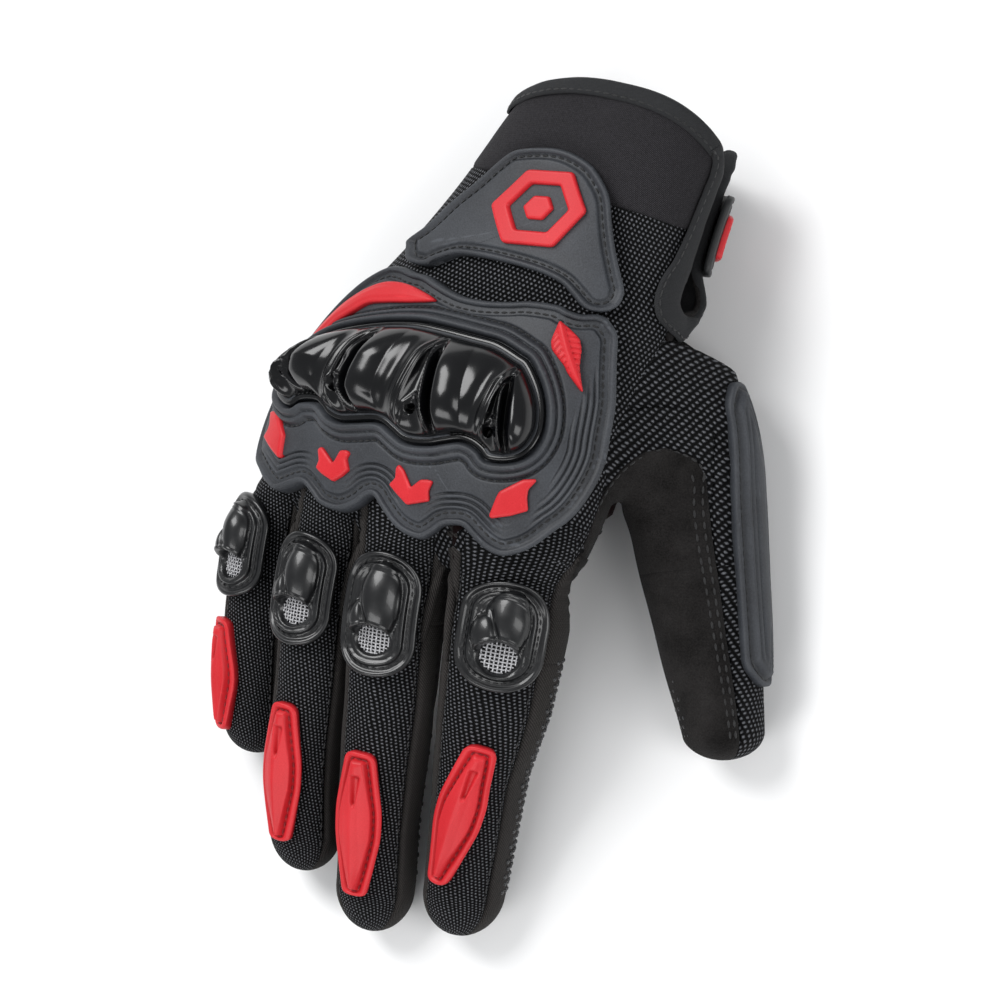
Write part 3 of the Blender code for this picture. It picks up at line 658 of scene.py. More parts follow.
def make(name, points, faces, surface, material, ride, replaces=(), centre=None, solid=0.0):
    """A piece from points, faces and each face corner's surface coordinates. ride is a body, or the arguments
    of a blend, which are not used. centre is a point that the faces turn away from."""
    mesh = bpy.data.meshes.new(name)
    mesh.from_pydata(metres(points).tolist(), [], [list(f) for f in faces])
    layer = mesh.uv_layers.new(name="surface")
    corners = np.concatenate([np.asarray(s, float).reshape(-1, 2) for s in surface])
    layer.data.foreach_set("uv", corners.astype(np.float32).ravel())
    shape = bmesh.new()
    shape.from_mesh(mesh)
    bmesh.ops.remove_doubles(shape, verts=shape.verts[:], dist=2e-6)
    if centre is not None:
        middle = Vector(metres(centre))
        shape.normal_update()
        out = sum(f.normal.dot(f.calc_center_median() - middle) * f.calc_area() for f in shape.faces)
        if out < 0:
            bmesh.ops.reverse_faces(shape, faces=shape.faces[:])
    else:
        bmesh.ops.recalc_face_normals(shape, faces=shape.faces[:])
    shape.to_mesh(mesh)
    shape.free()
    mesh.shade_smooth()
    piece = bpy.data.objects.new(name, mesh)
    bpy.context.scene.collection.objects.link(piece)
    mesh.materials.append(MATERIALS[material])
    if solid:
        wall = piece.modifiers.new("wall", "SOLIDIFY")
        wall.thickness = solid * MM
        wall.offset = -1
        mesh.materials.append(MATERIALS["lining"])
        wall.material_offset = 1
    if isinstance(ride, str):
        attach(piece, ride)
    else:
        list(ride)
        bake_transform(piece)
    if replaces:
        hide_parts(*replaces)
    return piece


def grid(name, points, surface, material, ride, **more):
    """A sheet through rows of points."""
    rows, columns = points.shape[:2]
    index = np.arange(rows * columns).reshape(rows, columns)
    faces = np.stack((index[:-1, :-1], index[:-1, 1:], index[1:, 1:], index[1:, :-1]), -1).reshape(-1, 4)
    flat = surface.reshape(-1, 2)
    return make(name, points.reshape(-1, 3), faces, [flat[faces]], material, ride, **more)


def ring_faces(index):
    """Faces between rows of points that each close in a ring."""
    after = np.roll(index, -1, 1)
    return np.stack((index[:-1], after[:-1], after[1:], index[1:]), -1).reshape(-1, 4)


def crown(flat, outline, place, top):
    """A pad's upper surface over points of its drawing."""
    x, y = flat[..., 0], flat[..., 1]
    return place(x, y, top(x, y, inside_distance(flat, outline)))


def pad(name, outline, place, top, bottom, material, ride, rings=28, core=None, middle=None, **more):
    """A closed pad inside an outline. top(x, y, depth) is its upper surface's height, where depth is how far
    a point is inside the outline. With a core outline, it is a ring round that core. middle is a point that
    all of the outline can be seen from."""
    hollow = core is not None
    centre = core if hollow else outline.mean(0) if middle is None else np.asarray(middle, float)
    share = 1 - np.linspace(0, 1, rings) ** (1.0 if hollow else 1.25)
    if not hollow:
        share = share[:-1]
    flat = centre + (outline - centre)[None] * share[:, None, None]
    upper = crown(flat, outline, place, top)
    low_flat = flat[:: max(len(flat) // 4, 1)]
    if hollow:
        low_flat = np.stack((flat[0], flat[-1]))
    lower = place(low_flat[..., 0], low_flat[..., 1], bottom)
    count = len(outline)
    low_start = flat.shape[0] * count
    points, coordinates = [upper.reshape(-1, 3), lower.reshape(-1, 3)], [flat, low_flat]
    below = low_start + np.arange(low_flat.shape[0] * count).reshape(-1, count)
    faces = ring_faces(np.arange(low_start).reshape(-1, count)).tolist() + ring_faces(below)[:, ::-1].tolist()
    ring = np.arange(count)
    after = np.roll(ring, -1)
    faces += np.stack((ring, low_start + ring, low_start + after, after), -1).tolist()
    inner_top, inner_low = (flat.shape[0] - 1) * count, low_start + (low_flat.shape[0] - 1) * count
    if hollow:
        faces += np.stack((inner_top + ring, inner_top + after, inner_low + after, inner_low + ring),
                          -1).tolist()
    else:
        peak = centre[None]
        high = crown(peak, outline, place, top)
        points += [high, place(peak[:, 0], peak[:, 1], bottom)]
        coordinates += [peak, peak]
        last = low_start + low_flat.shape[0] * count
        faces += np.stack((inner_top + ring, inner_top + after, np.full(count, last)), -1).tolist()
        faces += np.stack((inner_low + after, inner_low + ring, np.full(count, last + 1)), -1).tolist()
    all_flat = np.concatenate([c.reshape(-1, 2) for c in coordinates])
    corners = [all_flat[np.array(f)] for f in faces]
    return make(name, np.concatenate(points), faces, corners, material, ride, **more)


def slab(name, outline, place, top, bottom, material, ride, columns=440, rows=140, **more):
    """A closed pad like pad's, in columns along its drawing's y, each of which crosses the outline twice."""
    turned = np.roll(outline, -outline[:, 0].argmin(), 0)
    far = turned[:, 0].argmax()
    first, second = turned[: far + 1], np.vstack((turned[far:], turned[:1]))[::-1]
    ends = turned[0, 0], turned[far, 0]
    x = sum(ends) / 2 + (ends[1] - ends[0]) / 2 * np.sin(np.linspace(-np.pi / 2, np.pi / 2, columns))
    sides = [np.interp(x, np.maximum.accumulate(line[:, 0]), line[:, 1]) for line in (first, second)]
    low, high = np.minimum(*sides), np.maximum(*sides)
    share = (1 - np.cos(np.linspace(0, np.pi, rows))) / 2
    flat = np.stack((x[None].repeat(rows, 0), low + (high - low) * share[:, None]), -1)
    low_flat = flat[np.unique(np.append(np.arange(0, rows, 7), rows - 1))]
    upper = crown(flat, outline, place, top)
    lower = place(low_flat[..., 0], low_flat[..., 1], bottom)
    above = np.arange(rows * columns).reshape(rows, columns)
    below = above.size + np.arange(len(low_flat) * columns).reshape(-1, columns)
    faces = []
    for a, b in ((above[:-1], above[1:]), (below[1:], below[:-1]), (below[:1], above[:1]),
                 (above[-1:], below[-1:])):
        faces += np.stack((a[:, :-1], a[:, 1:], b[:, 1:], b[:, :-1]), -1).reshape(-1, 4).tolist()
    all_flat = np.concatenate((flat.reshape(-1, 2), low_flat.reshape(-1, 2)))
    points = np.concatenate((upper.reshape(-1, 3), lower.reshape(-1, 3)))
    return make(name, points, faces, [all_flat[np.array(faces)]], material, ride, **more)


def stitches(name, runs, material, ride, pitch=2.5, length=1.75, radius=0.3):
    """Sewn stitches along runs, each a pair of lines: the seam and, for which way is out, a line over it."""
    around, rings = 6, 5
    t = np.linspace(-1, 1, rings)
    girth = np.sqrt(1 - (t * 0.93) ** 2)
    angle = np.linspace(0, 2 * np.pi, around, endpoint=False)
    unit = np.stack((
        np.repeat(t * length / 2, around),
        (girth[:, None] * np.cos(angle) * radius).ravel(),
        (girth[:, None] * np.sin(angle) * radius * 0.8).ravel(),
    ), -1)
    index = np.arange(rings * around).reshape(rings, around)
    quads = ring_faces(index).tolist()
    caps = [index[0][::-1].tolist(), index[-1].tolist()]
    points, faces, corners = [], [], []
    unit_flat = np.column_stack((unit[:, 0], unit[:, 1] * 2))
    for seam, over in runs:
        steps = np.linalg.norm(np.diff(seam, axis=0), axis=1).sum()
        count = max(int(steps / pitch), 2)
        line = resample(seam, count * 4, False)
        lift = resample(over, count * 4, False)
        middle = line[1::4]
        tangent = line[2::4] - line[0::4][: len(line[2::4])]
        middle = middle[: len(tangent)]
        tangent /= np.linalg.norm(tangent, axis=1, keepdims=True)
        up = (lift - line)[1::4][: len(tangent)]
        up /= np.linalg.norm(up, axis=1, keepdims=True)
        side = np.cross(up, tangent)
        side /= np.linalg.norm(side, axis=1, keepdims=True)
        for c, a, b, n in zip(middle, tangent, side, up):
            start = len(points) * len(unit)
            points.append(c + unit[:, :1] * a + unit[:, 1:2] * b + unit[:, 2:] * n)
            for face in quads + caps:
                faces.append([start + k for k in face])
                corners.append(unit_flat[face])
    return make(name, np.concatenate(points), faces, corners, material, ride)


def inset(outline, distance):
    """An outline drawn in by a distance along its own normals."""
    ahead, behind = np.roll(outline, -1, 0), np.roll(outline, 1, 0)
    tangent = ahead - behind
    normal = np.column_stack((-tangent[:, 1], tangent[:, 0]))
    normal /= np.linalg.norm(normal, axis=1, keepdims=True)
    area = (outline[:, 0] * ahead[:, 1] - ahead[:, 0] * outline[:, 1]).sum()
    moved = outline + normal * distance * (1 if area > 0 else -1)
    keep = inside_distance(moved, outline) > abs(distance) * 0.97
    return moved[keep]


def sew(name, place, outline, distance, height, ride, *size, material="black_thread"):
    """Stitches round a pad at a distance inside its outline. size is their pitch, length and radius."""
    x, y = inset(outline, distance).T
    x, y = np.append(x, x[0]), np.append(y, y[0])
    stitches(name, [(place(x, y, height), place(x, y, height + 1))], material, ride, *size)


# ---------------------------------------------------------------- hand and cuff

BACK_CHART = Chart(5)
CUFF_CHART = Chart(60)


def rim_y(degrees):
    """The cuff's mouth, which rises over the back of the wrist."""
    return 85.6 + 9.7 * np.maximum(np.cos(np.radians(np.asarray(degrees) - 12)), 0) ** 1.3


def flare(degrees, y):
    """How far the palm side of the slit stands out from the wrist."""
    return 3.2 * ramp(degrees, 97, 105) * (1 - ramp(degrees, 112, 134)) * dip(y, 50, 6.2)


def even(first, last, count, y):
    """Degrees from first to last, evenly spaced round the hand's section at y."""
    chart = Chart(y)
    return chart.degrees(np.linspace(chart.arc(first), chart.arc(last), count))


def build_hand_panels():
    """Back and palm of the hand, their front ends closing in a round web behind the fingers."""
    front, reach, depth = -17.0, 15.0, 15.0
    body = np.linspace(PANEL_SEAM_Y, front, 78)
    turn = np.radians(np.linspace(6, 88, 14))
    y = np.concatenate((body, front - reach * np.sin(turn)))
    inward = np.concatenate((body * 0, depth * (1 - np.cos(turn))))
    for name, first, last, material, node in (
        ("hand_back_knit", -90, 90, "hand_knit", "hand_back_panel"),
        ("hand_palm_suede", 90, 270, "suede", "hand_palm_panel"),
    ):
        columns = 150
        degrees = even(first, last, columns, 5)[None].repeat(len(y), 0)
        # Above the wrist the edges draw back for the slit
        opening = ramp(y, 43, 50)[:, None]
        if first == -90:
            edge = 90 + (SLIT[0] - 91) * opening
            degrees = -90 + (degrees + 90) * (edge + 90) / 180
        else:
            edge = 90 + (SLIT[1] - 89) * opening
            degrees = 270 - (270 - degrees) * (270 - edge) / 180
        ys = y[:, None].repeat(columns, 1)
        out = -inward[:, None] + 0.25 * waves(BACK_CHART.arc(degrees), ys, 16, 1.3)
        middle = (first + last) / 2
        out = out - 0.5 * dip(np.abs(degrees - middle), 90, 2.0) * (ys < 44) + flare(degrees, ys)
        points = hand(degrees, ys, out)
        flat = np.stack((BACK_CHART.arc(degrees), ys), -1)
        grid(name, points, flat, material, "hand", replaces=(node,), centre=(3, 10, 30), solid=FABRIC)


def build_cuff():
    for name, first, last, node in (
        ("cuff_back_neoprene", -90, SLIT[0] - 2, "cuff_back_panel"),
        ("cuff_palm_neoprene", SLIT[1] + 2, 270, "cuff_palm_panel"),
    ):
        degrees = even(first, last, 110, 80)[None].repeat(26, 0)
        share = np.linspace(0, 1, 26)[:, None]
        corner = 3 * ramp(degrees, 82, 90) * (1 - ramp(degrees, 112, 120))
        ys = PANEL_SEAM_Y + share * (rim_y(degrees) - 1 - corner - PANEL_SEAM_Y)
        out = 0.35 + 0.3 * waves(CUFF_CHART.arc(degrees), ys, 13, 0.4) - 0.55 * dip(share, 0, 0.05)
        flat = np.stack((CUFF_CHART.arc(degrees), ys), -1)
        grid(name, hand(degrees, ys, out), flat, "neoprene", "hand", replaces=(node,),
             centre=(18, 78, 29), solid=1.8)


# The bound edge from the mouth's thumb-side corner down to the slit's foot, and the tape's inner edge beside
# it: degrees round the hand, then y
CORNER_EDGE = (
    (76, 88.8), (81.5, 87.6), (86.5, 85.6), (90.5, 83.2), (92, 80.5), (92, 74), (92, 67), (91.5, 59),
    (89.5, 54), (87.5, 50.5), (88, 47.8), (92, 46), (101, 45.2),
)
CORNER_INNER = (
    (70, 85.9), (75.5, 85.2), (79.5, 84), (81.6, 82), (82.3, 79.5), (81.6, 74), (80.6, 67), (77, 59),
    (70.5, 53.3), (68, 48.8), (70, 45), (77.5, 42), (101, 39),
)


def build_binding():
    """Tape folded over the cuff's mouth and the wrist slit's edges."""
    around = np.linspace(SLIT[1] + 16, 360 + 75, 150)
    number = np.arange(len(CORNER_EDGE))
    at = np.linspace(0, len(CORNER_EDGE) - 1, 110)
    down, down_inner = (smooth(np.column_stack((number, line)), at) for line in (CORNER_EDGE, CORNER_INNER))
    mirror = SLIT[0] + SLIT[1]

    def whole(rim, half):
        back = np.column_stack((mirror - half[:, 0], half[:, 1]))[::-1][1:]
        return np.vstack((np.column_stack((around - 360, rim)), half, back))

    edge = whole(rim_y(around), down)
    inner = whole(rim_y(around) - 4, down_inner)
    step = inner - edge
    speed = float(CUFF_CHART.arc(SLIT[1]) - CUFF_CHART.arc(SLIT[0])) / (SLIT[1] - SLIT[0])
    width = np.hypot(step[:, 0] * speed, step[:, 1])
    # Profile across the tape: how far from its outer edge to its inner, then outward from the fabric
    profile = [(1, 0.3), (0.97, 0.95), (0.8, 1.2), (0.5, 1.4), (0.2, 1.5), (0.0, 1.25)]
    profile += [(-0.14 * math.sin(a), -0.25 + 1.4 * math.cos(a)) for a in np.linspace(0.5, math.pi - 0.4, 6)]
    profile += [(0.2, -2.2), (0.5, -2.3), (0.72, -2.25)]
    profile = np.array(profile)
    share, rise = profile[:, 0][None], profile[:, 1][None]
    share = np.where(share < 0, share * 5 / width[:, None], share)
    wave = 0.14 * waves(np.arange(len(edge)) * 1.0, edge[:, 1], 6, 2.0)[:, None]
    degrees, y = edge[:, :1] + step[:, :1] * share, edge[:, 1:] + step[:, 1:] * share
    points = hand(degrees, y, 0.5 + rise + wave + flare(degrees, y))
    length = np.concatenate(((0.0,), np.cumsum(np.linalg.norm(np.diff(points[:, 5], axis=0), axis=1))))
    flat = np.stack(np.broadcast_arrays(length[:, None], np.arange(len(profile))[None] * 1.1), -1)
    grid("cuff_binding_tape", points, flat, "binding", "hand", replaces=("cuff_binding",))
    seam = edge + step * (1 - 1.0 / width)[:, None]
    lift = flare(*seam.T)
    stitches("binding_stitches", [(hand(*seam.T, 1.75 + lift), hand(*seam.T, 2.8 + lift))],
             "black_thread", "hand", 2.4, 1.7, 0.26)


# ---------------------------------------------------------------- knuckle armour


def guard_grooves(x, y, depth):
    """Contour lines pressed into the guard: sets of three between the chevrons, four along the thumb side."""
    arc = BACK_CHART.arc
    between = sum(np.exp(-(((x - arc(d)) / reach) ** 4)) for d, reach in ((-35, 7.5), (-1.5, 7), (25, 9)))
    low = between * (1 - ramp(y, -11, -6))
    side = ramp(x, arc(50), arc(57)) * (1 - ramp(y, 33, 38))
    side = side + ramp(x, arc(47), arc(54)) * (1 - ramp(y, -12, -6))
    mask = np.clip(low + side, 0, 1)
    lines = sum(dip(depth, 5.0 + 1.4 * k, 0.28) for k in range(3))
    return mask * lines + np.clip(side, 0, 1) * dip(depth, 9.2, 0.24)


def build_guard():
    arc_outline = curve_through(BACK_CHART.flat(GUARD), 900)
    shell = curve_through(BACK_CHART.flat(SHELL), 720)
    centre = shell.mean(0)
    angle = np.arctan2(*(shell - centre).T[::-1])
    order = np.argsort(angle)
    radius = np.hypot(*(shell - centre).T)
    outer_angle = np.arctan2(*(arc_outline - centre).T[::-1])
    reach = np.interp(outer_angle, angle[order], radius[order], period=2 * np.pi)
    reach = np.mean([np.roll(reach, k) for k in range(-16, 17, 2)], 0) - 3.5
    core = centre + np.column_stack((np.cos(outer_angle), np.sin(outer_angle))) * reach[:, None]

    def top(x, y, depth):
        away = inside_distance(np.stack((x, y), -1), shell)
        plateau = 3.0 + 0.9 * ramp(depth, 3.7, 4.3)
        lip = 1.1 * bead(depth, 0.85, 0.85)
        rim = 2.3 * bead(away, 1.5, 1.2) + 1.2 * bead(away, 3.4, 0.8) - 0.5 * dip(away, 4.7, 0.35)
        return plateau + lip * (depth < 1.7) + rim - 0.9 * guard_grooves(x, y, depth)

    pad("knuckle_guard_moulding", arc_outline, BACK_CHART.place, top, 0.4, "rubber", "hand", rings=120,
        core=core, replaces=("knuckle_guard",))
    sew("guard_stitches", BACK_CHART.place, arc_outline, 3.0, 3.1, "hand", 2.2, 1.6, 0.26)
    sew("guard_rim_stitches", BACK_CHART.place, shell, -4.7, 3.65, "hand", 2.0, 1.4, 0.22)
    build_shell(shell)
    build_inlays()


# Each knuckle's dome in the shell's drawing: the left ridge's x, the slit's x, the right edge's x, how the
# slit leans, and the y where they end
DOMES = (
    (-35, -29.2, -21.6, 0.06, 16.5), (-17.5, -12.2, -5.3, -0.04, 21), (0.6, 9.2, 16.5, -0.26, 23.5),
    (20.3, 26.6, 34.5, -0.25, 21),
)


def dome_relief(x, y, left, slit, right, lean, peak):
    """A scoop with a vent hole at its foot, a deep slit on its right, and a smooth bulge beyond the slit."""
    slit_x = slit + lean * (np.maximum(y, 4) - 4) + 0.42 * np.maximum(4 - y, 0)
    left_x = left + 0.5 * np.maximum(1 - y, 0) + 2.4 * ramp(y, peak - 6, peak + 1)
    fade = 1 - ramp(y, peak - 8, peak + 0.5)
    across = x - slit_x
    share = np.clip(across / (right - slit), 0, 1)
    bulge = 2.4 * (1 - np.exp(-np.maximum(across, 0) / 1.3)) * (1 - share**3) * (0.4 + 0.6 * fade)
    inside = np.clip((x - left_x - 1.6) / np.maximum(slit_x - 1.4 - left_x - 1.6, 0.8), 0, 1)
    scoop = 1.9 * np.sin(np.pi * inside) ** 0.8 * fade
    blade = 1.7 * dip(across, -1.4, 0.65) * fade
    groove = 3.4 * dip(across, 0, 0.7) * fade
    lines = 0.5 * (dip(x, left_x, 0.36) + 0.8 * dip(x, left_x + 1.3, 0.3)) * (y < peak)
    height = bulge - scoop + blade - groove + lines
    hole_x = slit - 0.52 * (slit - left)
    hood_line = ((hole_x - 1.9, -1.5), (hole_x - 1.5, 4.4), (hole_x, 7.2), (hole_x + 1.5, 6.2))
    hood = line_distance(x, y, hood_line)
    return height + 0.7 * dip(hood, 0, 0.5), np.hypot((x - hole_x) / 0.85, (y - 3.4) / 1.15)


def build_shell(outline):
    def top(x, y, depth):
        rise = rounded(depth - 1.8, 10)
        height = 5.2 + 1.0 * bead(depth, 0.8, 0.8) * (depth < 0.8) + 1.0 * (depth >= 0.8)
        height = height - 0.5 * dip(depth, 1.65, 0.25) + rise * 6.6
        for dome in DOMES:
            relief, hole = dome_relief(x, y, *dome)
            height = height + rise * relief - 3.4 * (1 - ramp(hole, 0.8, 1.15))
        for left, right in zip(DOMES, DOMES[1:]):
            height = height - rise * 0.9 * dip(x, (left[2] + right[0]) / 2, 1.6) * (1 - ramp(y, 15, 24))
        return height

    slab("knuckle_shell_moulding", outline, BACK_CHART.place, top, 3.4, "gloss", "hand",
         replaces=("knuckle_shell",))
    sew("shell_pips", BACK_CHART.place, outline, 1.65, 5.85, "hand", 1.5, 0.8, 0.22)


def inlay(name, outline, base, height, relief, replaces, middle=None):
    """A raised red inlay with softened edges."""

    def top(x, y, depth):
        return base + height * rounded(depth, 0.9) * 0.55 + height * 0.45 + relief(x, y, depth)

    return pad(name, outline, BACK_CHART.place, top, base - 0.8, "red_rubber", "hand", rings=20,
               middle=middle, replaces=(replaces,))


def build_inlays():
    chart = BACK_CHART
    for finger, outline in CHEVRONS.items():
        middle = chart.flat((CHEVRON_MIDDLES[finger],))[0]
        inlay(f"{finger}_chevron_inlay", filleted(chart.flat(outline), 0.5, 180), 4.0, 0.9,
              lambda x, y, d: 0 * x, f"{finger}_chevron", middle)
    shape = filleted(curve_through(chart.flat(CRESCENT), 120), 0.3, 260)
    inlay("crescent_inlay", shape, 4.2, 1.2, lambda x, y, d: 0.25 * ramp(d, 0.8, 2.2), "knuckle_crescent",
          chart.flat((CRESCENT_MIDDLE,))[0])
    badge = chart.flat(BADGE)
    shape = filleted(badge, 0.8, 200)
    head, tail = badge[0], badge[6]
    run = (tail - head) / np.linalg.norm(tail - head)

    def ribs(x, y, depth):
        along = (x - head[0]) * run[0] + (y - head[1]) * run[1]
        across = np.abs((x - head[0]) * run[1] - (y - head[1]) * run[0])
        spine = 0.5 * dip(across, 0, 0.8)
        return spine - 0.35 * np.abs(np.sin((along - across * 0.7) * np.pi / 1.7)) ** 6 * (across > 0.9)

    inlay("badge_inlay", shape, 4.4, 1.3, ribs, "knuckle_badge")


def build_cuff_pad():
    outline = curve_through(CUFF_CHART.flat(CUFF_PAD), 520)

    def top(x, y, depth):
        lip = 1.1 * bead(depth, 0.8, 0.8) * (depth < 1.6)
        return 2.3 + lip + 0.8 * ramp(depth, 2.7, 3.4) + 0.25 * ramp(depth, 5, 14)

    pad("cuff_pad_moulding", outline, CUFF_CHART.place, top, 0.3, "rubber", "hand", rings=52,
        replaces=("cuff_pad",))
    sew("cuff_pad_stitches", CUFF_CHART.place, outline, 2.15, 2.4, "hand", 2.2, 1.6, 0.24)
    middle = np.array((float(CUFF_CHART.arc(1.2)), 60.2))
    hexagon = [(math.cos(math.radians(60 * k + 12)), math.sin(math.radians(60 * k + 12))) for k in range(6)]
    outer = filleted(middle + np.array(hexagon) * 11.4, 1.0, 300)
    inner = middle + (outer - middle) * 0.62

    def raised(x, y, depth):
        edge = np.minimum(depth, inside_distance(np.stack((x, y), -1), inner))
        return 3.6 + 0.9 * rounded(edge, 0.7)

    pad("cuff_emblem_ring", outer, CUFF_CHART.place, raised, 3.0, "red_rubber", "hand", rings=26,
        core=inner, replaces=("cuff_emblem",))
    small = filleted(middle + np.array(hexagon) * 3.6, 0.5, 96)
    pad("cuff_emblem_centre", small, CUFF_CHART.place,
        lambda x, y, d: 3.6 + 0.9 * rounded(d, 0.7), 3.0, "red_rubber",
        "hand", rings=14)


# ---------------------------------------------------------------- fingers and thumb

# Panels round a finger: name, first and last degree, material
PANELS = (
    ("back", -48, 56, "finger_knit"),
    ("thumb_side", 56, 112, "twill"),
    ("palm", 112, 246, "suede"),
    ("outer_side", 246, 312, "twill"),
)


def frame_points(limb, along, tilt, before, after):
    """Where a blend starts and ends, as two places in metres: a band across the limb that leans back."""
    centre, tangent, up = limb.frame(along)
    angle = math.radians(tilt)
    way = tangent * math.cos(angle) + up * math.sin(angle)
    return tuple(metres(centre - way * before)), tuple(metres(centre + way * after))


def limb_grid(limb, first, last, low, high, step=0.95, crease=None, start=None):
    """Points and surface map of one panel, puffed between its seams. start(degrees) is its low end."""
    arc = math.radians(last - first) * 11
    degrees = np.linspace(first, last, max(int(arc / step), 8))
    along = np.linspace(low, high, max(int((high - low) / step), 8))
    if high >= limb.end - 0.01:
        tip = limb.dome + (limb.end - limb.dome) * np.sin(np.linspace(0, math.pi / 2, 14))
        along = np.concatenate((along[along < limb.dome - 0.5], tip))
    along, degrees = np.meshgrid(along, degrees, indexing="ij")
    if start:
        along = high - (high - along) * (high - start(degrees)) / (high - low)
    edge = np.minimum(degrees - first, last - degrees)
    out = -0.75 * np.exp(-((edge / 3.2) ** 2)) + 0.2 * waves(degrees * 0.2, along, 9, first * 0.1)
    if crease:
        out = out + crease(degrees, along)
    out = out * (1 - ramp(along, limb.dome, limb.end))
    flat = np.stack((np.radians(degrees) * 11, along), -1)
    return limb.point(degrees, along, out), flat


def finger_crease(limb):
    def crease(degrees, along):
        inner = np.clip(-np.cos(np.radians(degrees)), 0, 1)
        folds = -1.7 * inner * dip(along, limb.middle, 3.5)
        folds += -1.2 * inner * dip(along, 6, 5)
        sides = np.clip(np.sin(np.radians(degrees)) ** 2, 0, 1)
        gathers = 0.35 * np.sin(along * 1.9 + degrees * 0.05) * sides * (1 - ramp(along, 2, 12))
        return folds + gathers
    return crease


def build_finger(name, spec):
    limb = Finger(spec)
    base, tip = f"{name}_base", f"{name}_tip"
    split = 20.0
    knuckle = ("hand", base, *frame_points(limb, 0, 30, 4.4, 8.2))
    reach = min(7.0, limb.middle - split - 3)
    middle = (base, tip, *frame_points(limb, limb.middle, 0, reach, reach))
    crease = finger_crease(limb)
    for panel, first, last, material in PANELS:
        start = -15.0 if panel == "back" else -8.0
        half = "back" if panel in ("back", "thumb_side") else "palm"
        points, flat = limb_grid(limb, first, last, start, split, crease=crease)
        grid(f"{name}_root_{panel}", points, flat, material, knuckle, replaces=(f"{base}_{half}",),
             centre=limb.frame(8.0)[0], solid=FABRIC)
        points, flat = limb_grid(limb, first, last, split, limb.end, crease=crease)
        grid(f"{name}_end_{panel}", points, flat, material, middle, replaces=(f"{tip}_{half}",),
             centre=limb.frame(limb.middle + 10)[0], solid=FABRIC)
    build_seams(name, limb, split, knuckle, middle)
    build_rolls(name, limb, knuckle)
    build_capsule(name, limb, spec)
    build_slider(name, limb, spec)


def roll(name, line, radius, material, ride):
    """A rolled edge of cloth: a tube along a line, thin at both ends."""
    line = resample(line, 40, False)
    tangent = np.gradient(line, axis=0)
    tangent /= np.linalg.norm(tangent, axis=1, keepdims=True)
    side = np.cross(tangent, (0.2, 0.1, 1.0))
    side /= np.linalg.norm(side, axis=1, keepdims=True)
    other = np.cross(side, tangent)
    angle = np.linspace(0, 2 * np.pi, 17)[None, :, None]
    girth = radius * (0.15 + 0.85 * np.sin(np.linspace(0.12, np.pi - 0.12, 40)) ** 0.6)[:, None, None]
    points = line[:, None] + girth * (np.cos(angle) * side[:, None] + np.sin(angle) * other[:, None])
    flat = np.stack(np.broadcast_arrays(np.linspace(0, 7, 17)[None], np.linspace(0, 18, 40)[:, None]), -1)
    grid(name, points, flat, material, ride)


def build_rolls(name, limb, knuckle):
    """The gathered cloth at the tops of the valleys beside a finger."""
    for side, ways in (("thumb_side", (54, 58, 66, 76)), ("outer_side", (-46, -50, -58, -68))):
        if (name, side) in (("index", "thumb_side"), ("little", "outer_side")):
            continue
        degrees = np.interp(np.linspace(0, 3, 20), range(4), ways)
        along = np.interp(np.linspace(0, 3, 20), range(4), (24, 13, 6.5, 3.5))
        roll(f"{name}_{side}_roll", limb.point(degrees, along, 0.2), 1.3, "twill", knuckle)


def build_seams(name, limb, split, knuckle, middle):
    """Stitch rows beside the seams of the back panel."""
    for part, low, high, ride in (("root", 4.0, split, knuckle), ("end", split, limb.dome + 3, middle)):
        runs = []
        for degrees in (PANELS[0][1] + 7, PANELS[0][2] - 7):
            along = np.linspace(low, high, 60)
            runs.append((limb.point(degrees, along, 0.02), limb.point(degrees, along, 1.0)))
        stitches(f"{name}_{part}_stitches", runs, "black_thread", ride, 2.3, 1.6, 0.22)


def build_capsule(name, limb, spec):
    start, length, lean = spec["capsule"]
    width = spec["width"]
    place = limb.pad(start, length, lean)
    outline = stadium(length, width, 200)
    window_y = -0.20 * length
    window = 0.19 * width + 0.35
    half_inner = width / 2 - 4.0

    def lobe(x, y, wide, long, tall):
        return tall * np.clip(1 - (x / wide) ** 2 - (y / long) ** 2, 0, 1) ** 0.6

    def hood(x, y):
        """The scoop over the window: a long lobe, and a short one beside it that curls round the window."""
        long_lobe = lobe(x - 0.14 * half_inner, y - 0.11 * length, 0.9 * half_inner, 0.31 * length, 3.7)
        curl = lobe(x + 0.5 * half_inner, y - window_y - window - 1.0, 0.66 * half_inner, 4.8, 3.5)
        groove = 0.7 * dip(x + 0.3 * (y - window_y - window) + 0.1 * half_inner, 0, 0.45)
        opening = np.hypot(x + 0.2, y - window_y + 0.9)
        return np.clip(np.maximum(long_lobe, curl) - groove * (y < 0.2 * length), 0, 4) * ramp(
            opening, window + 0.1, window + 0.8)

    def top(x, y, depth):
        beads = 0.8 * bead(depth, 0.7, 0.7) * (depth < 1.4) + 0.6 * bead(depth, 3.1, 0.5)
        floor = 2.2 + 0.25 * ramp(depth, 2.6, 3.2) - 0.5 * ramp(depth, 4.0, 4.6)
        well = 1.7 * (1 - ramp(np.hypot(x, y - window_y), window - 0.35, window + 0.1))
        lip = 0.35 * dip(np.hypot(x, y - window_y), window + 0.5, 0.35)
        return floor + beads + hood(x, y) - well + lip

    pad(f"{name}_vent_moulding", outline, place, top, 0.2, "capsule_gloss", f"{name}_base", rings=44,
        replaces=(f"{name}_vent_guard",))
    sew(f"{name}_vent_stitches", place, outline, 2.0, 2.35, f"{name}_base", 2.0, 1.4, 0.24)
    build_woven(name, place, window_y, window - 0.15)


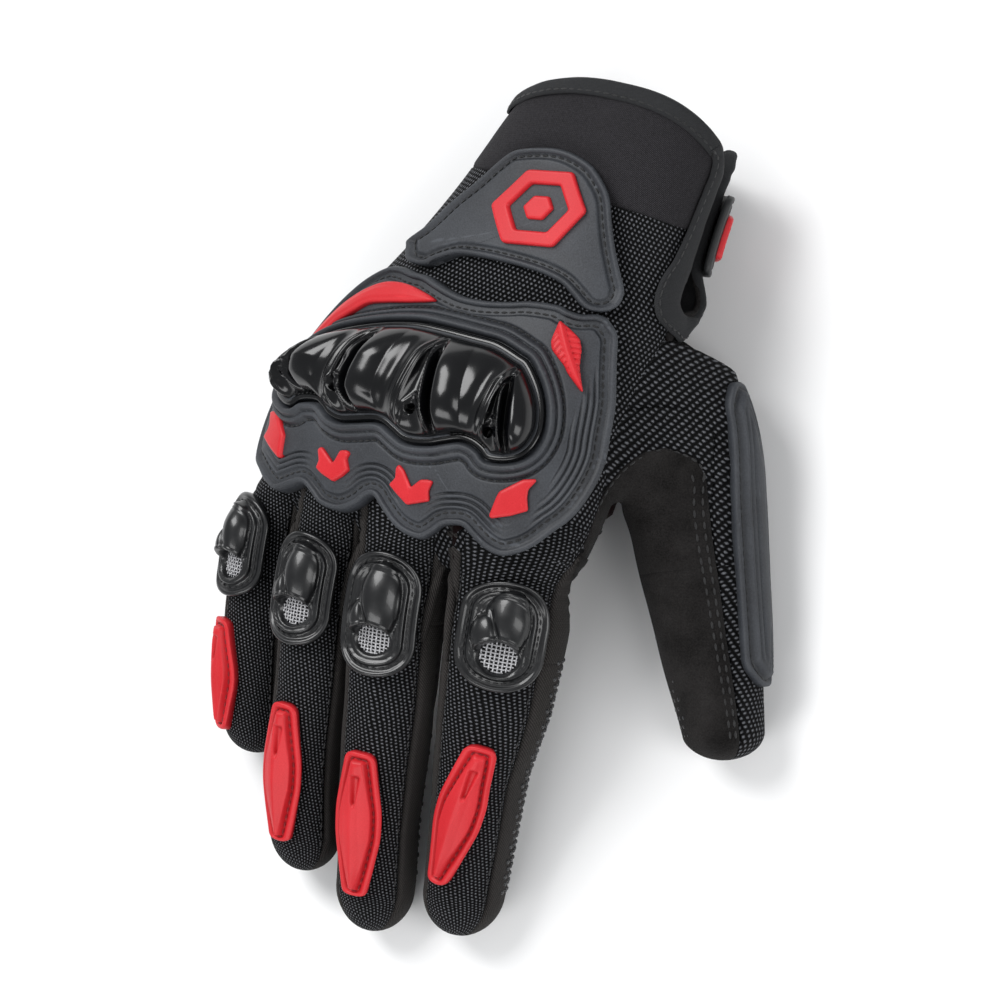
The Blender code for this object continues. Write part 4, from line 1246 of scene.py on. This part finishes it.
def build_woven(name, place, middle_y, radius):
    """A disc of woven wires in the capsule's window."""
    pitch, thick = 0.8, 0.17
    points, faces, corners = [], [], []
    count = int(radius / pitch)
    for way in (0, 1):
        for k in range(-count, count + 1):
            offset = k * pitch
            half = math.sqrt(max(radius**2 - offset**2, 0.05))
            steps = max(int(half * 2 / 0.155), 4)
            t = np.linspace(-half, half, steps)
            lift = 0.13 * np.cos(math.pi * (t / pitch)) * (1 if (k + way) % 2 else -1)
            for turn in np.arange(4) * math.pi / 2:
                side = offset + thick * math.cos(turn)
                x, y = (t, side + 0 * t) if way else (side + 0 * t, t)
                points.append(place(x, y + middle_y, 1.15 + lift + thick * math.sin(turn)))
            start = sum(len(p) for p in points[:-4])
            index = start + np.arange(4 * steps).reshape(4, steps)
            after = np.roll(index, -1, 0)
            quads = np.stack((index[:, :-1], index[:, 1:], after[:, 1:], after[:, :-1]), -1).reshape(-1, 4)
            faces += quads.tolist() + [index[:, 0].tolist(), index[::-1, -1].tolist()]
            corners += [np.zeros((4, 2)) + (k, way)] * (len(quads) + 2)
    make(f"{name}_vent_weave", np.concatenate(points), faces, corners, "wire", f"{name}_base",
         replaces=(f"{name}_vent_mesh",))


def slider_top(length, turn):
    """A slider's height: flange, sewn channel and facetted centre, with a slot at the wrist's end."""
    sine, cosine = math.sin(math.radians(turn)), math.cos(math.radians(turn))

    def top(x, y, depth):
        side, y = x * cosine - y * sine, x * sine + y * cosine
        lip = 0.35 * bead(depth, 0.6, 0.6) * (depth < 1.2)
        channel = -0.75 * dip(depth, 1.7, 0.3)
        centre = 1.1 * ramp(depth, 1.95, 2.3) + 0.2 * np.clip(depth - 2.3, 0, 3)
        ridge = 0.3 * (1 - np.clip(np.abs(side + 0.5 + 0.03 * y) / 1.6, 0, 1)) * ramp(depth, 2.4, 3.2)
        near = np.clip((y - 0.14 * length) / (0.22 * length), 0, 1)
        wide = 0.3 + 0.5 * near
        slot = -1.4 * np.exp(-((side / wide) ** 4)) * ramp(near, 0, 0.08)
        slot = slot * (1 - ramp(near, 0.9, 1)) * (depth > 2.2)
        return 1.9 + lip + channel + centre + ridge + slot

    return top


def build_slider(name, limb, spec):
    start, length, lean = spec["slider"]
    turn = spec["turn"]
    place = limb.pad(limb.middle + start, length, lean)
    outline = long_hexagon(length, spec["slider_width"], turn, 300)
    pad(f"{name}_slider_moulding", outline, place, slider_top(length, turn), -0.2, "red_rubber",
        f"{name}_tip", rings=44, replaces=(f"{name}_slider",))
    sew(f"{name}_slider_stitches", place, outline, 1.7, 1.65, f"{name}_tip", 2.0, 1.3, 0.22,
        material="red_thread")


def thumb_side():
    reach = Vector(THUMB_PATH[-1][:3]) - THUMB_ROOT
    return reach.cross(THUMB_FLEX).normalized()


THUMB_PANELS = (
    ("back", -9, 80, "hand_knit"),
    ("palm", 80, 232, "suede"),
    ("inner", 232, 351, "suede"),
)


def web_line(degrees):
    """Where the hand's knit ends and the thumb's suede begins, an arch over the web."""
    return np.interp(degrees - 360, (-128, -86, -52, -26, -14, -9), (-2, 6.5, 12.5, 17, 27, 33))


def build_thumb():
    limb = Thumb(THUMB_PATH, THUMB_BEND, thumb_side())
    split = 51.0  # the root's blend has ended here on every side, and the tip's hasn't begun
    flank = hand(*THUMB_FLANK, 0.3)
    way = limb.frame(27.0)[0] - flank
    way /= np.linalg.norm(way)
    root = ("hand", "thumb_base", tuple(metres(flank + way * 8)), tuple(metres(flank + way * 22)))
    joint = ("thumb_base", "thumb_tip", *frame_points(limb, limb.middle, 0, 6, 6))

    def crease(degrees, along):
        folds = 0.3 * np.sin(along * 0.55 + degrees * 0.03) * ramp(along, 4, 12) * (1 - ramp(along, 20, 50))
        return folds - 1.3 * (1 - ramp(along, -7, -2))

    def hem(degrees, along):
        return crease(degrees, along) + 0.45 - 0.8 * dip(along, web_line(degrees), 0.5)

    points, flat = web_panel(limb, lambda d: web_line(d) + 1.5, crease)
    grid("thumb_web_knit", points, flat, "hand_knit", root, replaces=("thumb_base_back",),
         centre=limb.frame(15.0)[0], solid=FABRIC)
    for panel, first, last, material in THUMB_PANELS:
        half = "back" if panel != "palm" else "palm"
        inner = panel == "inner"
        points, flat = limb_grid(limb, first, last, -7.0, split, crease=hem if inner else crease,
                                 start=web_line if inner else None)
        if panel == "back":
            flat = points[..., :2]
        grid(f"thumb_root_{panel}", points, flat, material, root, replaces=(f"thumb_base_{half}",),
             centre=limb.frame(15.0)[0], solid=FABRIC)
        points, flat = limb_grid(limb, first, last, split, limb.end, crease=hem if inner else crease)
        grid(f"thumb_end_{panel}", points, flat, material, joint, replaces=(f"thumb_tip_{half}",),
             centre=limb.frame(limb.middle + 10)[0], solid=FABRIC)
    for part, low, high, ride in (("root", 27.0, split, root), ("end", split, limb.dome + 2, joint)):
        along = np.linspace(low, high, 80)
        runs = [(limb.point(d, along, 0.5), limb.point(d, along, 1.5)) for d in (-16, -24)]
        stitches(f"thumb_{part}_stitches", runs, "black_thread", ride, 2.6, 1.8, 0.3)
    degrees = np.linspace(240, 346, 70)
    seam, over = (limb.point(degrees, web_line(degrees) + 1.4, out) for out in (0.5, 1.5))
    stitches("thumb_web_stitches", [(seam, over)], "black_thread", root, 2.4, 1.7, 0.28)
    build_thumb_slider(limb, joint)


def web_panel(limb, line, crease):
    """The hand's knit, carried on to the thumb's inner side as far as a line."""
    degrees, share = np.meshgrid(np.linspace(232, 353, 80), np.linspace(0, 1, 44))
    along = -7 + (line(degrees) + 7) * share
    points = limb.point(degrees, along, crease(degrees, along) - 0.1)
    return points, points[..., :2]


def build_thumb_slider(limb, joint):
    """One long moulded strip over both of the thumb's parts, with grooves along its inner side."""
    start, long = 5.0, 77.0
    place = limb.pad(start, long, THUMB_LEAN, super(Thumb, limb).point)
    outline = filleted(((-3, long / 2), (1.5, long / 2 - 1), (6.75, 18), (6.75, -20), (3, -long / 2),
                        (-2.5, -long / 2), (-6.75, -long / 2 + 5), (-6.75, long / 2 - 6)), 2.5, 420)

    def top(x, y, depth):
        flange = 1.7 + 0.45 * bead(depth, 0.6, 0.6) * (depth < 1.2)
        body = 1.5 * ramp(depth, 1.9, 2.9) + 0.5 * ramp(depth, 3.6, 6.5)
        grooves = 0.35 * (dip(depth, 3.5, 0.22) + dip(depth, 4.7, 0.2)) * (x < 1)
        return flange + body - 0.4 * dip(depth, 1.6, 0.25) - grooves

    pad("thumb_slider_moulding", outline, place, top, -0.2, "rubber", joint, rings=44,
        replaces=("thumb_base_slider", "thumb_tip_slider"))
    sew("thumb_slider_stitches", place, outline, 1.55, 1.5, joint, 2.3, 1.6, 0.24)


# ---------------------------------------------------------------- strap and palm

STRAP_Y = (57, 78)


def build_strap():
    arc = CUFF_CHART.arc
    low, high = STRAP_Y
    middle = (low + high) / 2

    first, last = float(arc(100)), float(arc(206))
    outline = filleted(((first, low), (first, high), (last - 7, high), (last, middle + 3), (last, middle - 3),
                        (last - 7, low)), 3, 260)
    tab = (float(arc(107)), float(arc(124)))

    def top(x, y, depth):
        ribs = 0.5 * np.abs(np.sin((x - tab[1]) * math.pi / 3.2)) ** 0.7 * ramp(x, tab[1] + 2, tab[1] + 4)
        edge = 0.5 * bead(depth, 0.8, 0.8) * (depth < 0.8) + 0.5 * (depth >= 0.8)
        return 4.3 + edge + ribs * ramp(depth, 1.5, 2.5) - 0.3 * dip(depth, 1.9, 0.3)

    pad("strap_band_moulding", outline, CUFF_CHART.place, top, 3.1, "strap_rubber", "closure_strap",
        rings=40, replaces=("strap_band",))
    badge = filleted(((tab[0], low + 5), (tab[0], high - 5), (tab[1], high - 4), (tab[1], low + 4)), 1.5, 120)
    pad("strap_badge_inlay", badge, CUFF_CHART.place,
        lambda x, y, d: 5.0 + 1.2 * rounded(d, 1.0), 4.6, "red_rubber",
        "closure_strap", rings=14, replaces=("strap_badge",))


def build_palm():
    """Sewn grip patch on the palm. The heel pad that the glove rests on stays as imported."""
    arc = BACK_CHART.arc
    ring = [(float(arc(182 + 38 * math.sin(2 * math.pi * k / 48))), 6 + 22 * math.cos(2 * math.pi * k / 48))
            for k in range(48)]
    outline = curve_through(ring, 320)

    def top(x, y, depth):
        quilt = 0.35 * np.abs(np.sin(x * math.pi / 9) * np.sin(y * math.pi / 9)) ** 0.5
        return 1.2 + 0.7 * ramp(depth, 0, 1.6) + quilt * ramp(depth, 3, 5) - 0.3 * dip(depth, 2.4, 0.4)

    piece = pad("palm_grip_suede", outline, BACK_CHART.place, top, 0.3, "suede", "hand", rings=34,
                replaces=("palm_grip_patch",))
    sew("palm_grip_stitches", BACK_CHART.place, outline, 2.4, 1.75, "hand")


def dots(name, places, ups, material, ride, radius=0.8, height=0.45):
    """Small printed silicone domes."""
    around = 8
    angle = np.linspace(0, 2 * np.pi, around, endpoint=False)
    rings = ((1.0, 0.0), (0.8, 0.6), (0.42, 0.92))
    points, faces, corners = [], [], []
    for centre, up in zip(places, ups):
        up = up / np.linalg.norm(up)
        side = np.cross(up, (0.31, 0.95, 0.05))
        side /= np.linalg.norm(side)
        other = np.cross(up, side)
        start = sum(len(p) for p in points)
        dome = [centre - up * 0.3 + (side * np.cos(a) + other * np.sin(a)) * radius for a in angle]
        for share, rise in rings:
            dome += [centre + up * height * rise + (side * np.cos(a) + other * np.sin(a)) * radius * share
                     for a in angle]
        dome.append(centre + up * height)
        points.append(np.array(dome))
        for ring in range(len(rings)):
            for k in range(around):
                j = (k + 1) % around
                faces.append([start + ring * around + k, start + ring * around + j,
                              start + (ring + 1) * around + j, start + (ring + 1) * around + k])
                corners.append(np.array(((k, ring), (j, ring), (j, ring + 1), (k, ring + 1)), float))
        last, top = start + len(rings) * around, start + len(dome) - 1
        for k in range(around):
            faces.append([last + k, last + (k + 1) % around, top])
            corners.append(np.array(((k, 3), (k + 1, 3), (k, 4)), float))
        faces.append([start + k for k in range(around)][::-1])
        corners.append(np.zeros((around, 2)))
    make(name, np.concatenate(points), faces, corners, material, ride)


def tip_dots(name, limb, rows, first, last, step):
    """Dots over the palm side of a fingertip, each row shifted against the last."""
    places, ups = [], []
    for row, along in enumerate(rows):
        for degrees in np.arange(first + 6 * (row % 2), last, step):
            here = limb.point(degrees, along, 0.0)
            places.append(here)
            ups.append(limb.point(degrees, along, 1.0) - here)
    dots(f"{name}_grip_dots", places, ups, "silicone", f"{name}_tip")


def build_dots():
    for name, spec in FINGERS.items():
        limb = Finger(spec)
        tip_dots(name, limb, np.arange(limb.middle + 9, limb.dome - 1, 2.3), 122, 238, 12)
    limb = Finger(FINGERS["index"])
    bend = ("index_base", "index_tip", *frame_points(limb, limb.middle, 0, 7, 7))
    side = [(degrees + 5 * (row % 2), along) for row, along in enumerate(np.arange(20, limb.dome - 2, 2.1))
            for degrees in (84, 95, 106)]
    places = limb.point(*np.array(side).T, 0.0)
    dots("index_side_dots", places, limb.point(*np.array(side).T, 1.0) - places, "silicone", bend, 0.65)
    limb = Thumb(THUMB_PATH, THUMB_BEND, thumb_side())
    tip_dots("thumb", limb, np.arange(limb.middle + 7, limb.dome + 1, 2.3), 150, 268, 11)


# ---------------------------------------------------------------- stage


def area_light(name, place, target, size, power):
    data = bpy.data.lights.new(name, "AREA")
    data.shape = "RECTANGLE"
    data.size, data.size_y = size
    data.energy = power
    light = bpy.data.objects.new(name, data)
    light.location = place
    way = Vector(target) - Vector(place)
    light.rotation_mode = "QUATERNION"
    light.rotation_quaternion = way.to_track_quat("-Z", "Y")
    bpy.context.scene.collection.objects.link(light)


def build_stage():
    size = 4.0
    mesh = bpy.data.meshes.new("floor")
    mesh.from_pydata([(-size, -size, 0), (size, -size, 0), (size, size, 0), (-size, size, 0)], [],
                     [(0, 1, 2, 3)])
    floor = bpy.data.objects.new("floor", mesh)
    floor.location.z = -0.0004
    bpy.context.scene.collection.objects.link(floor)
    shade = bpy.data.materials.new("floor")
    shade.use_nodes = True
    shade.node_tree.nodes["Principled BSDF"].inputs["Base Color"].default_value = (0.9, 0.9, 0.9, 1)
    shade.node_tree.nodes["Principled BSDF"].inputs["Roughness"].default_value = 0.8
    mesh.materials.append(shade)

    world = bpy.data.worlds.new("studio")
    world.use_nodes = True
    world.node_tree.nodes["Background"].inputs["Color"].default_value = (0.95, 0.97, 1, 1)
    world.node_tree.nodes["Background"].inputs["Strength"].default_value = 0.38
    bpy.context.scene.world = world
    bpy.context.scene.view_settings.view_transform = "Standard"

    target = (0.0, -0.03, 0.03)
    area_light("key", (-0.55, 0.35, 0.9), target, (0.5, 0.7), 10.5)
    area_light("fill", (0.8, -0.1, 0.7), target, (0.4, 0.8), 4.6)
    area_light("front", (-0.1, -0.8, 0.7), target, (0.7, 0.4), 4)


def build_camera():
    """A long lens over the back of the hand, the fingers pointing down and a little to the left."""
    tilt, lean = math.radians(20), math.radians(17.35)
    back = Vector((math.sin(tilt), 0, math.cos(tilt)))
    across = Vector((math.cos(tilt), 0, -math.sin(tilt)))
    along = Vector((0, 1, 0))
    right = across * math.cos(lean) + along * math.sin(lean)
    up = along * math.cos(lean) - across * math.sin(lean)
    target = Vector((0.0098, -0.0455, 0.03))
    distance, frame_width, sensor = 1.5, 0.25, 36
    data = bpy.data.cameras.new("camera")
    data.sensor_width = sensor
    data.lens = sensor * distance / frame_width
    camera = bpy.data.objects.new("camera", data)
    turn = Matrix((right, up, back)).transposed().to_4x4()
    camera.matrix_world = Matrix.Translation(target + back * distance) @ turn
    bpy.context.scene.collection.objects.link(camera)
    bpy.context.scene.camera = camera


def finish_cad_nodes():
    """CAD nodes that stay in view get materials with their real surface."""
    for node, material in (
        ("knuckle_foam", "foam"), ("palm_heel_pad", "strap_rubber"), ("wrist_loop_patch", "pile"),
        ("strap_hook_patch", "pile"),
    ):
        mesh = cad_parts[node].data
        mesh.materials.clear()
        mesh.materials.append(MATERIALS[material])


build_camera()
build_stage()
build_hand_panels()
build_cuff()
build_binding()
build_guard()
build_cuff_pad()
for finger_name, finger_spec in FINGERS.items():
    build_finger(finger_name, finger_spec)
build_thumb()
build_strap()
build_palm()
build_dots()
finish_cad_nodes()
